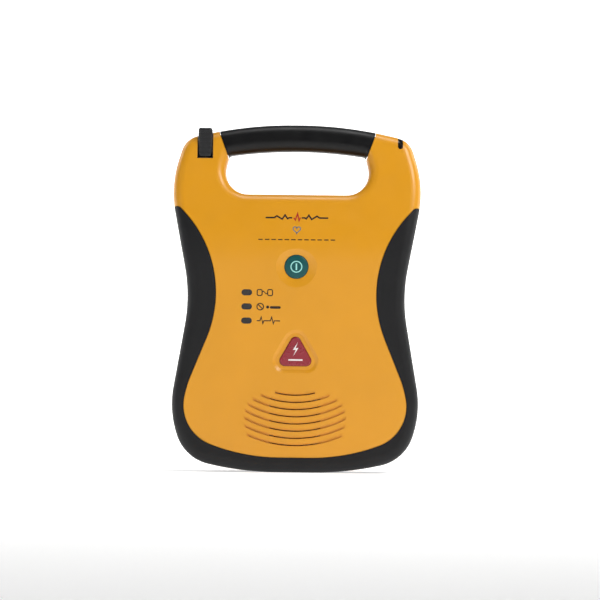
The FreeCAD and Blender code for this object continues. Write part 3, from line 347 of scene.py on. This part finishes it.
def interior_finishes():
    """Finishes of the parts inside, by material slot."""
    plain = {
        # slot: common name, colour, roughness, grain mm, grain height mm, IOR
        "seal_rubber": ("extruded_silicone_cord", "#1C1C1D", 0.6, 0.6, 0.010, 1.41),
        "black_plastic": ("moulded_black_abs", "#121213", 0.5, 0.8, 0.015, 1.53),
        "switch_plastic": ("liquid_crystal_polymer", "#1A1A1C", 0.42, 0.4, 0.006, 1.6),
        "led_clear": ("cast_clear_epoxy", "#C9D8CC", 0.1, 1.0, 0.002, 1.54),
        "foam": ("closed_cell_foam", "#2A2A2A", 0.9, 0.5, 0.060, 1.45),
        "cone_paper": ("pressed_cone_paper", "#1B1B1A", 0.85, 0.7, 0.050, 1.45),
        "ferrite": ("sintered_ferrite", "#2B2B2E", 0.55, 0.5, 0.020, 2.0),
        "capacitor_can": ("wrapped_film_capacitor", "#22335C", 0.35, 1.5, 0.010, 1.55),
        "white_plastic": ("moulded_natural_nylon", "#D8D6CE", 0.45, 0.9, 0.010, 1.53),
        "winding_tape": ("polyester_winding_tape", "#CFA12A", 0.3, 2.0, 0.020, 1.6),
        "relay_black": ("potted_relay_case", "#17171A", 0.4, 0.8, 0.010, 1.53),
        "chip_epoxy": ("moulded_chip_epoxy", "#101011", 0.6, 0.4, 0.012, 1.55),
        "battery_plastic": ("moulded_battery_abs", "#1B1B1D", 0.48, 0.8, 0.015, 1.53),
        "cell_sleeve": ("shrunk_pvc_sleeve", "#C9CBD0", 0.3, 2.0, 0.010, 1.53),
        "eject_orange": ("moulded_orange_pom", "#D4520F", 0.35, 0.8, 0.008, 1.48),
    }
    metals = {
        # slot: common name, colour, roughness, stretch of its lines
        "spring_steel": ("drawn_spring_steel", "#B4B5B8", 0.25, (1, 1, 1)),
        "stamped_steel": ("zinc_plated_steel", "#B5B8BC", 0.35, (1, 1, 1)),
        "screw_steel": ("zinc_plated_screw", "#B9BABC", 0.3, (1, 1, 1)),
        "aluminium_sink": ("extruded_aluminium", "#C9CBCE", 0.4, (6, 6, 1)),
        "gold_contact": ("gold_flashed_brass", "#DDB65A", 0.22, (1, 1, 1)),
    }
    made = {slot: moulded(name, colour, rough, size, height, ior)
            for slot, (name, colour, rough, size, height, ior) in plain.items()}
    made.update({slot: metal(name, colour, rough, stretch)
                 for slot, (name, colour, rough, stretch) in metals.items()})
    made["circuit_board"] = solder_masked_laminate()
    return made


# ---------------------------------------------------------------- mesh helpers

def mesh_piece(name, build, material, body):
    """Object from a bmesh that the build function fills, riding on a body."""
    mesh = bpy.data.meshes.new(name)
    data = bmesh.new()
    build(data)
    bmesh.ops.recalc_face_normals(data, faces=data.faces)
    data.to_mesh(mesh)
    data.free()
    piece = bpy.data.objects.new(name, mesh)
    bpy.context.scene.collection.objects.link(piece)
    mesh.materials.append(material)
    mesh.shade_smooth()
    mesh.set_sharp_from_angle(angle=math.radians(35))
    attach(piece, body)
    return piece


class Face:
    """The front or back surface of CAD nodes, found along Y."""

    def __init__(self, names, towards=1):
        vertices, faces = [], []
        for name in names:
            mesh = NODES[name].data
            faces += [[i + len(vertices) for i in p.vertices] for p in mesh.polygons]
            vertices += [v.co.copy() for v in mesh.vertices]
        self.tree = BVHTree.FromPolygons(vertices, faces)
        self.towards = towards

    def depth(self, x, z):
        """Y of the surface at a point across and up."""
        spot = self.tree.ray_cast(Vector((x, -self.towards, z)), Vector((0, self.towards, 0)))[0]
        if spot is None:
            raise RuntimeError(f"no surface at {x:.4f}, {z:.4f}")
        return spot.y


def print_strip(data, face, path, width, raised, closed=False):
    """Inked line of a width along a path of (x, z) points, laid on a face."""
    points = [Vector(p) for p in path]
    total = len(points)
    edge = []
    for i, point in enumerate(points):
        before = points[i - 1] if i or closed else point
        after = points[(i + 1) % total] if i < total - 1 or closed else point
        side = mitre(before, point, after) * (width / 2)
        edge.append((point + side, point - side))
    lower, upper = [], []
    for pair in edge:
        lower.append([data.verts.new(on_face(face, p, -raised)) for p in pair])
        upper.append([data.verts.new(on_face(face, p, raised)) for p in pair])
    last = total if closed else total - 1
    for i in range(last):
        j = (i + 1) % total
        data.faces.new((upper[i][0], upper[i][1], upper[j][1], upper[j][0]))
        data.faces.new((lower[i][0], lower[j][0], lower[j][1], lower[i][1]))
        data.faces.new((upper[i][0], upper[j][0], lower[j][0], lower[i][0]))
        data.faces.new((upper[i][1], lower[i][1], lower[j][1], upper[j][1]))
    if not closed:
        for i in (0, total - 1):
            data.faces.new((upper[i][0], upper[i][1], lower[i][1], lower[i][0]))


def mitre(before, point, after):
    """Direction across a path at a point, long enough to keep the width round a corner."""
    arriving, leaving = point - before, after - point
    first = arriving.normalized() if arriving.length else leaving.normalized()
    second = leaving.normalized() if leaving.length else first
    normal = Vector((-(first + second).y, (first + second).x)).normalized()
    across = Vector((-first.y, first.x))
    return normal / max(0.35, abs(normal.dot(across)))


def on_face(face, point, raised):
    """Point in space above a face by the ink's height; a negative height lies under it."""
    return Vector((point.x, face.depth(point.x, point.y) - face.towards * raised, point.y))


def print_fill(data, face, outline, raised):
    """Inked area inside an outline of (x, z) points."""
    lower = [data.verts.new(on_face(face, Vector(p), -raised)) for p in outline]
    upper = [data.verts.new(on_face(face, Vector(p), raised)) for p in outline]
    data.faces.new(upper)
    data.faces.new(lower[::-1])
    for i in range(len(outline)):
        j = (i + 1) % len(outline)
        data.faces.new((upper[i], upper[j], lower[j], lower[i]))


def divided(path, step):
    """Path with points no further apart than a step, so that ink follows a curved face."""
    made = [path[0]]
    for start, end in zip(path, path[1:]):
        count = max(1, math.ceil(math.dist(start, end) / step))
        made += [tuple(s + (e - s) * k / count for s, e in zip(start, end))
                 for k in range(1, count + 1)]
    return made


def circle(centre, radius, count=48, start=0.0, turn=2 * math.pi):
    """Points round a circle, or round part of one."""
    steps = count if turn >= 2 * math.pi else count + 1
    return [(centre[0] + radius * math.cos(start + turn * i / count),
             centre[1] + radius * math.sin(start + turn * i / count)) for i in range(steps)]


def middle(name):
    """Centre of a CAD node's box across and up."""
    low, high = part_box(name)
    return (low[0] + high[0]) / 2, (low[2] + high[2]) / 2


# ---------------------------------------------------------------- operators

class DEFIB_OT_finishes(bpy.types.Operator):
    """Give every part of the case its material"""

    bl_idname = "defib.finishes"
    bl_label = "Finishes"

    def execute(self, context):
        colours = context.scene.defib_colours
        made = interior_finishes()
        made.update({
            "yellow_shell": spark_eroded_abs(colours),
            "bumper_rubber": overmoulded_rubber(colours),
            "grip_rubber": satin_grip_rubber(colours),
            "green_button": silicone_button(colours),
            "shock_red": polished_shock_cap(colours),
            "smoked_lens": smoked_acrylic(),
            "plug_black": glass_filled_nylon(),
            "battery_cap": glass_filled_nylon(),
            "label_film": polyester_label(),
        })
        slots = {part["node"]: part["material_slot"] for part in frame["record"]["subparts"]}
        for name, item in NODES.items():
            item.data.materials.clear()
            item.data.materials.append(made[slots[name]])
        return {"FINISHED"}


class DEFIB_OT_on_off_symbol(bpy.types.Operator):
    """Inlay the ring and bar of the on/off button"""

    bl_idname = "defib.on_off_symbol"
    bl_label = "On/off symbol"

    def execute(self, context):
        sizes, colours = context.scene.defib_prints, context.scene.defib_colours
        ink = pad_print("inlaid_symbol_resin", colours.on_off_mark)
        centre = middle("on_off_button")
        face = Face(["on_off_button"])
        radius = sizes.ring - sizes.stroke / 2
        mesh_piece("on_off_ring", lambda data: print_strip(
            data, face, circle(centre, radius, 64), sizes.stroke, sizes.raised, True),
            ink, "on_off")
        reach = sizes.ring * 0.56
        bar = [(centre[0], centre[1] - reach), (centre[0], centre[1] + reach)]
        mesh_piece("on_off_bar", lambda data: print_strip(
            data, face, bar, sizes.stroke * 1.4, sizes.raised), ink, "on_off")
        return {"FINISHED"}


class DEFIB_OT_shock_symbol(bpy.types.Operator):
    """Print the lightning bolt on the shock button"""

    bl_idname = "defib.shock_symbol"
    bl_label = "Shock symbol"

    def execute(self, context):
        sizes = context.scene.defib_prints
        ink = pad_print("white_pad_print", "#F1EDEA")
        face = Face(["shock_button"])
        low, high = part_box("shock_button")
        x, z = (low[0] + high[0]) / 2, 106.4 * MM  # middle of the bolt
        tall, bar_drop = 12.4 * MM, 9.3 * MM
        bolt = [(0.17, 0.5), (-0.19, -0.06), (0.03, -0.03), (-0.17, -0.5), (0.2, 0.09),
                (-0.01, 0.06)]
        outline = [(x + px * tall, z + pz * tall) for px, pz in bolt]
        bar = rounded_box((x, z - bar_drop), 12.5 * MM, 1.3 * MM, 0.6 * MM)
        for name, path in (("shock_bolt", outline), ("shock_bar", bar)):
            mesh_piece(name, lambda data: print_fill(data, face, path, sizes.raised), ink, "shock")
        return {"FINISHED"}


class DEFIB_OT_lamp_symbols(bpy.types.Operator):
    """Print one generic symbol beside each indicator lens"""

    bl_idname = "defib.lamp_symbols"
    bl_label = "Lamp symbols"

    def execute(self, context):
        sizes, colours = context.scene.defib_prints, context.scene.defib_colours
        ink = pad_print("dark_pad_print", colours.print_dark)
        face = Face(["front_cover"])
        low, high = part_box("status_lenses")
        lens, gap = 7.1 * MM, 3.4 * MM  # height of a lens with its flange; room beside it
        rows = [high[2] - lens / 2, (low[2] + high[2]) / 2, low[2] + lens / 2]
        x = high[0] + gap
        symbols = (("pads_symbol", self.pads), ("hands_off_symbol", self.hands_off),
                   ("rhythm_symbol", self.rhythm))
        for z, (name, draw) in zip(rows, symbols):
            mesh_piece(name, lambda data: draw(data, face, x, z, sizes), ink, "case")
        return {"FINISHED"}

    def pads(self, data, face, x, z, sizes):
        """Two electrode pads joined by a lead."""
        tall, gap = sizes.symbol, 9 * MM
        for side in (0, 1):
            path = rounded_box((x + 2.2 * MM + side * gap, z), tall * 0.66, tall * 0.8, tall * 0.2)
            print_strip(data, face, path, sizes.fine_stroke, sizes.raised, True)
        lead = [(x + 4.1 * MM, z), (x + 5.6 * MM, z + 1.2 * MM), (x + 7.8 * MM, z - 1.2 * MM),
                (x + 9.3 * MM, z)]
        print_strip(data, face, lead, sizes.fine_stroke * 0.8, sizes.raised)

    def hands_off(self, data, face, x, z, sizes):
        """Barred ring before a person lying down."""
        radius = sizes.symbol * 0.44
        centre = x + radius
        print_strip(data, face, circle((centre, z), radius), sizes.fine_stroke, sizes.raised, True)
        reach = radius * 0.7
        slash = [(centre - reach, z + reach), (centre + reach, z - reach)]
        print_strip(data, face, slash, sizes.fine_stroke, sizes.raised)
        head = x + 9.2 * MM
        print_fill(data, face, circle((head, z - 0.3 * MM), 1.3 * MM, 20), sizes.raised)
        trunk = rounded_box((head + 6.6 * MM, z - 0.6 * MM), 9.4 * MM, 2.2 * MM, 1.05 * MM)
        print_fill(data, face, trunk, sizes.raised)

    def rhythm(self, data, face, x, z, sizes):
        """Heart rhythm of two beats."""
        beat = [(0, 0), (0.3, 0), (0.42, 0.5), (0.58, -0.38), (0.68, 0)]
        path = [(x + (px + step) * 9 * MM, z + pz * sizes.symbol)
                for step in (0, 1) for px, pz in beat]
        print_strip(data, face, path + [(x + 20 * MM, z)], sizes.fine_stroke, sizes.raised)


def rounded_box(centre, width, tall, radius):
    """Closed path of a rectangle with round corners."""
    path = []
    for turn, (sx, sz) in enumerate(((1, 1), (-1, 1), (-1, -1), (1, -1))):
        corner = (centre[0] + sx * (width / 2 - radius), centre[1] + sz * (tall / 2 - radius))
        path += circle(corner, radius, 6, turn * math.pi / 2, math.pi / 2)
    return path


class DEFIB_OT_pulse_line(bpy.types.Operator):
    """Print a pulse line, a heart and a broken rule under the handle"""

    bl_idname = "defib.pulse_line"
    bl_label = "Pulse line"

    def execute(self, context):
        sizes, colours = context.scene.defib_prints, context.scene.defib_colours
        face = Face(["front_cover"])
        half, z, tall = sizes.pulse / 2, sizes.pulse_height, 6.4 * MM
        bold = sizes.stroke * 1.5
        dark = pad_print("dark_line_print", colours.print_dark)
        ripple = [(1, 0), (0.72, 0), (0.64, 0.24), (0.55, 0), (0.47, -0.2), (0.38, 0.36),
                  (0.3, -0.12), (0.24, 0), (0.15, 0)]
        for name, side in (("pulse_left", -1), ("pulse_right", 1)):
            path = divided([(side * px * half, z + pz * tall) for px, pz in ripple], 2 * MM)
            mesh_piece(name, lambda data: print_strip(data, face, path, bold, sizes.raised),
                       dark, "case")
        peak = [(-0.1, 0), (-0.05, -0.3), (0.02, 0.6), (0.07, -0.4), (0.11, 0.05)]
        path = divided([(px * half, z + pz * tall) for px, pz in peak], 1.5 * MM)
        mesh_piece("pulse_peak", lambda data: print_strip(
            data, face, path, sizes.stroke * 1.2, sizes.raised),
            pad_print("red_line_print", colours.print_red), "case")
        self.heart(face, z - 10.2 * MM, sizes)
        self.broken_rule(face, z - 18.9 * MM, sizes, dark)
        return {"FINISHED"}

    def heart(self, face, z, sizes):
        """Outlined heart from the usual sine curve."""
        wide = 3.2 * MM
        path = []
        for i in range(40):
            t = 2 * math.pi * i / 40
            lobes = 13 * math.cos(t) - 5 * math.cos(2 * t) - 2 * math.cos(3 * t) - math.cos(4 * t)
            path.append((wide * math.sin(t) ** 3, z + wide * lobes / 16))
        mesh_piece("heart", lambda data: print_strip(
            data, face, path, sizes.fine_stroke, sizes.raised, True),
            pad_print("grey_pad_print", "#6E7A80"), "case")

    def broken_rule(self, face, z, sizes, ink):
        """Row of short dashes."""
        dashes = 12
        pitch = sizes.rule / dashes

        def build(data):
            for i in range(dashes):
                x = (i + 0.5 - dashes / 2) * pitch
                dash = [(x - pitch * 0.34, z), (x + pitch * 0.34, z)]
                print_strip(data, face, divided(dash, 2 * MM), sizes.fine_stroke, sizes.raised)

        mesh_piece("broken_rule", build, ink, "case")


class DEFIB_OT_plate_lines(bpy.types.Operator):
    """Print a border and blank rules on the rating plate"""

    bl_idname = "defib.plate_lines"
    bl_label = "Plate lines"

    def execute(self, context):
        sizes = context.scene.defib_prints
        face = Face(["rating_plate"], -1)
        low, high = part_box("rating_plate")
        x, z = middle("rating_plate")
        wide, tall, inset = high[0] - low[0], high[2] - low[2], 1.6 * MM

        def build(data):
            border = rounded_box((x, z), wide - 2 * inset, tall - 2 * inset, 1.5 * MM)
            print_strip(data, face, border, 0.4 * MM, PLATE_INK, True)
            for i in range(3):
                up = z + (i - 1) * tall * 0.24
                rule = [(x - wide * 0.4, up), (x + wide * 0.1, up)]
                print_strip(data, face, rule, 0.35 * MM, PLATE_INK)

        mesh_piece("plate_lines", build, pad_print("black_screen_print", "#161616"), "case")
        return {"FINISHED"}


class DEFIB_OT_battery_ribs(bpy.types.Operator):
    """Raise finger ribs on the battery's end cap"""

    bl_idname = "defib.battery_ribs"
    bl_label = "Battery ribs"

    def execute(self, context):
        low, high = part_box("battery_end_cap")
        cap = NODES["battery_end_cap"].data
        material = cap.materials[0]
        tree = BVHTree.FromPolygons([v.co for v in cap.vertices],
                                    [list(p.vertices) for p in cap.polygons])
        count, pitch, radius, inset = 5, 5 * MM, 0.9 * MM, 6 * MM
        front, back = low[1] + inset, high[1] - inset

        def build(data):
            for i in range(count):
                z = (low[2] + high[2]) / 2 + (i - (count - 1) // 2) * pitch
                x = tree.ray_cast(Vector((-1, 0, z)), Vector((1, 0, 0)))[0].x
                rib(data, Vector((x, front, z)), Vector((x, back, z)), radius)

        mesh_piece("battery_ribs", build, material, "battery_pack")
        return {"FINISHED"}


def rib(data, start, end, radius, flat=0.6, count=12):
    """Bar with round ends that stands out by part of its radius."""
    length = (end - start).length
    rings = []
    for k in range(-6, 7):
        along = abs(k) / 6
        swell = math.sqrt(max(0.0, 1 - along ** 8))
        centre = start.lerp(end, 0.5) + (end - start).normalized() * (k / 6) * length / 2
        rings.append([data.verts.new(centre + Vector((math.cos(a) * radius * flat * swell, 0,
                                                      math.sin(a) * radius * swell)))
                      for a in (2 * math.pi * i / count for i in range(count))])
    for first, second in zip(rings, rings[1:]):
        for i in range(count):
            j = (i + 1) % count
            data.faces.new((first[i], first[j], second[j], second[i]))
    data.faces.new(rings[0])
    data.faces.new(rings[-1][::-1])


class DEFIB_OT_springs(bpy.types.Operator):
    """Wind a coil of wire in place of each button spring"""

    bl_idname = "defib.springs"
    bl_label = "Springs"

    def execute(self, context):
        for name, joint, wire, travel in (("on_off_spring", "on_off_press", 0.8 * MM, 2 * MM),
                                          ("shock_spring", "shock_press", 0.8 * MM, 2 * MM),
                                          ("eject_spring", "eject_press", 0.7 * MM, 3 * MM)):
            material = NODES[name].data.materials[0]
            low, high = (Vector(corner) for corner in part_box(name))
            along = 0 if name == "eject_spring" else 1
            centre, length = (low + high) / 2, high[along] - low[along]
            across = (high - low)[2 if along else 1] / 2 - wire / 2
            piece = mesh_piece(name + "_coil", lambda data: coil(
                data, centre, along, across, length, wire / 2), material, "case")
            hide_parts(name)
            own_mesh(piece)
        return {"FINISHED"}


def coil(data, centre, along, across, length, radius, turns=4, steps=28, sides=8):
    """Round wire wound about an axis, with its ends cut square."""
    rings = []
    for k in range(turns * steps + 1):
        share = k / (turns * steps)
        angle = 2 * math.pi * turns * share
        out = Vector((0, math.cos(angle), math.sin(angle)))
        run = Vector((1, 0, 0))
        middle_point = out * across + run * (share - 0.5) * (length - 2 * radius)
        ring = []
        for j in range(sides):
            turn = 2 * math.pi * j / sides
            spot = middle_point + out * radius * math.cos(turn) + run * radius * math.sin(turn)
            turned = spot if along == 0 else Vector((spot.y, spot.x, spot.z))
            ring.append(data.verts.new(centre + turned))
        rings.append(ring)
    for first, second in zip(rings, rings[1:]):
        for j in range(sides):
            k = (j + 1) % sides
            data.faces.new((first[j], first[k], second[k], second[j]))
    data.faces.new(rings[0])
    data.faces.new(rings[-1][::-1])


# Point that the camera and the lamps look at, on the face of the case.
AIM = Vector((3.4 * MM, CAD_BOX[0][1], 148.8 * MM))
LAMPS = (
    # name, place, width, setting that holds its power; metres
    ("key_light", (1.2, -1.0, 1.5), 0.8, "key"),
    ("fill_light", (-1.3, -1.3, 0.5), 1.2, "fill"),
    ("top_light", (0.1, -0.1, 1.5), 0.7, "top"),
)
SENSOR_WIDTH = 36  # millimetres
VIEW_END = 50  # metres that the camera sees
SWEEP_RADIUS, SWEEP_BEND = 7.5, 0.7  # metres: reach of the floor, radius of its upward curve
SWEEP_RIM, SWEEP_RISE = 0.7, 4.5  # metres: height in front, and how much higher it is behind
SWEEP_TURNS, SWEEP_STEPS = 96, 16  # divisions round the floor and up its curve
# The floor's glow grows with distance from a point in front of the case, so it is dimmest there.
GLOW_START = (0, -3.5, 0)
GLOW = (("From Min", 3.7), ("From Max", 6.5), ("To Min", 0.52), ("To Max", 0.95))


class DEFIB_OT_stage(bpy.types.Operator):
    """Build the pale floor, the soft lights and the camera"""

    bl_idname = "defib.stage"
    bl_label = "Stage"

    def execute(self, context):
        studio = context.scene.defib_studio
        self.backdrop()
        self.world(context, studio.air)
        for name, place, width, setting in LAMPS:
            self.light(name, Vector(place), AIM, width, getattr(studio, setting))
        for word, side in (("left", -1), ("right", 1)):
            self.light(f"wall_light_{word}", Vector((side * 1.6, 0.9, 1.4)),
                       Vector((side * 0.8, 2.2, 0.6)), 1.0, studio.wall)
        data = bpy.data.cameras.new("camera")
        data.sensor_width = SENSOR_WIDTH
        data.lens = data.sensor_width * studio.distance / studio.span
        data.clip_end = VIEW_END
        camera = bpy.data.objects.new("camera", data)
        camera.location = AIM + Vector((0, -studio.distance, 0))
        camera.rotation_euler = (math.pi / 2, studio.roll, 0)
        context.scene.collection.objects.link(camera)
        context.scene.camera = camera
        return {"FINISHED"}

    def world(self, context, strength):
        """Even white light from all round."""
        world = bpy.data.worlds.new("studio_air")
        world.use_nodes = True
        tree = world.node_tree
        tree.nodes.clear()
        air = add_node(tree, "ShaderNodeBackground", Strength=strength)
        air.inputs["Color"].default_value = (1, 1, 1, 1)
        add_node(tree, "ShaderNodeOutputWorld", {"Surface": air.outputs["Background"]})
        context.scene.world = world
        context.scene.view_settings.view_transform = "Standard"

    def light(self, name, place, target, size, power):
        """Round soft light at a place, turned to a target."""
        data = bpy.data.lights.new(name, "AREA")
        data.shape = "DISK"
        data.size = size
        data.energy = power
        lamp = bpy.data.objects.new(name, data)
        lamp.location = place
        lamp.rotation_euler = (target - place).to_track_quat("-Z", "Y").to_euler()
        bpy.context.scene.collection.objects.link(lamp)

    def paint(self):
        """Pale paint with a faint glow."""
        material, tree, place = blank_material("painted_sweep")
        shader = add_node(tree, "ShaderNodeBsdfPrincipled", {
            "Base Color": varied(tree, place, "#F4F4F3", 400, 0.01)}, Roughness=0.8)
        shader.inputs["Emission Color"].default_value = (1, 1, 1, 1)
        spot = add_node(tree, "ShaderNodeNewGeometry")
        reach = add_node(tree, "ShaderNodeVectorMath", {"Vector": spot.outputs["Position"]},
                         operation="DISTANCE")
        reach.inputs[1].default_value = GLOW_START
        glow = add_node(tree, "ShaderNodeMapRange", {"Value": reach.outputs["Value"]})
        for socket, number in GLOW:
            glow.inputs[socket].default_value = number
        tree.links.new(glow.outputs["Result"], shader.inputs["Emission Strength"])
        return finish_material(material, tree, shader.outputs["BSDF"])

    def backdrop(self):
        """Round floor that sweeps up on every side, lowest in front of the case."""
        mesh = bpy.data.meshes.new("backdrop")
        data = bmesh.new()
        centre = data.verts.new((0, 0, 0))
        bends = [math.pi / 2 * j / SWEEP_STEPS for j in range(SWEEP_STEPS + 1)]
        curve = [(SWEEP_RADIUS - SWEEP_BEND + SWEEP_BEND * math.sin(a),
                  SWEEP_BEND - SWEEP_BEND * math.cos(a)) for a in bends]
        rings = []
        for i in range(SWEEP_TURNS):
            angle = 2 * math.pi * i / SWEEP_TURNS
            top = SWEEP_RIM + SWEEP_RISE * max(0.0, math.sin(angle))
            line = [(0.5 * SWEEP_RADIUS, 0.0)] + curve + [(SWEEP_RADIUS, top)]
            rings.append([data.verts.new((out * math.cos(angle), out * math.sin(angle), z))
                          for out, z in line])
        for first, second in zip(rings, rings[1:] + rings[:1]):
            data.faces.new((centre, first[0], second[0]))
            for j in range(len(first) - 1):
                data.faces.new((first[j], first[j + 1], second[j + 1], second[j]))
        bmesh.ops.recalc_face_normals(data, faces=data.faces)
        data.to_mesh(mesh)
        data.free()
        mesh.shade_smooth()
        mesh.materials.append(self.paint())
        piece = bpy.data.objects.new("backdrop", mesh)
        bpy.context.scene.collection.objects.link(piece)


OPERATORS = (DEFIB_OT_finishes, DEFIB_OT_on_off_symbol, DEFIB_OT_shock_symbol,
             DEFIB_OT_lamp_symbols, DEFIB_OT_pulse_line, DEFIB_OT_plate_lines,
             DEFIB_OT_battery_ribs, DEFIB_OT_springs, DEFIB_OT_stage)


class DEFIB_PT_panel(bpy.types.Panel):
    """Lists the pieces of the defibrillator's looks"""

    bl_idname = "DEFIB_PT_panel"
    bl_label = "Defibrillator"
    bl_space_type = "VIEW_3D"
    bl_region_type = "UI"
    bl_category = "Defibrillator"

    def draw(self, context):
        for operator in OPERATORS:
            self.layout.operator(operator.bl_idname)


SETTINGS = {"defib_colours": ColourSettings, "defib_prints": PrintSettings,
            "defib_studio": StudioSettings}
CLASSES = tuple(SETTINGS.values()) + OPERATORS + (DEFIB_PT_panel,)


def register():
    for item in CLASSES:
        bpy.utils.register_class(item)
    for name, kind in SETTINGS.items():
        setattr(bpy.types.Scene, name, bpy.props.PointerProperty(type=kind))


def unregister():
    for name in SETTINGS:
        delattr(bpy.types.Scene, name)
    for item in reversed(CLASSES):
        bpy.utils.unregister_class(item)


def main():
    register()
    for operator in OPERATORS:
        group, name = operator.bl_idname.split(".")
        getattr(getattr(bpy.ops, group), name)()


if __name__ == "__main__":
    main()
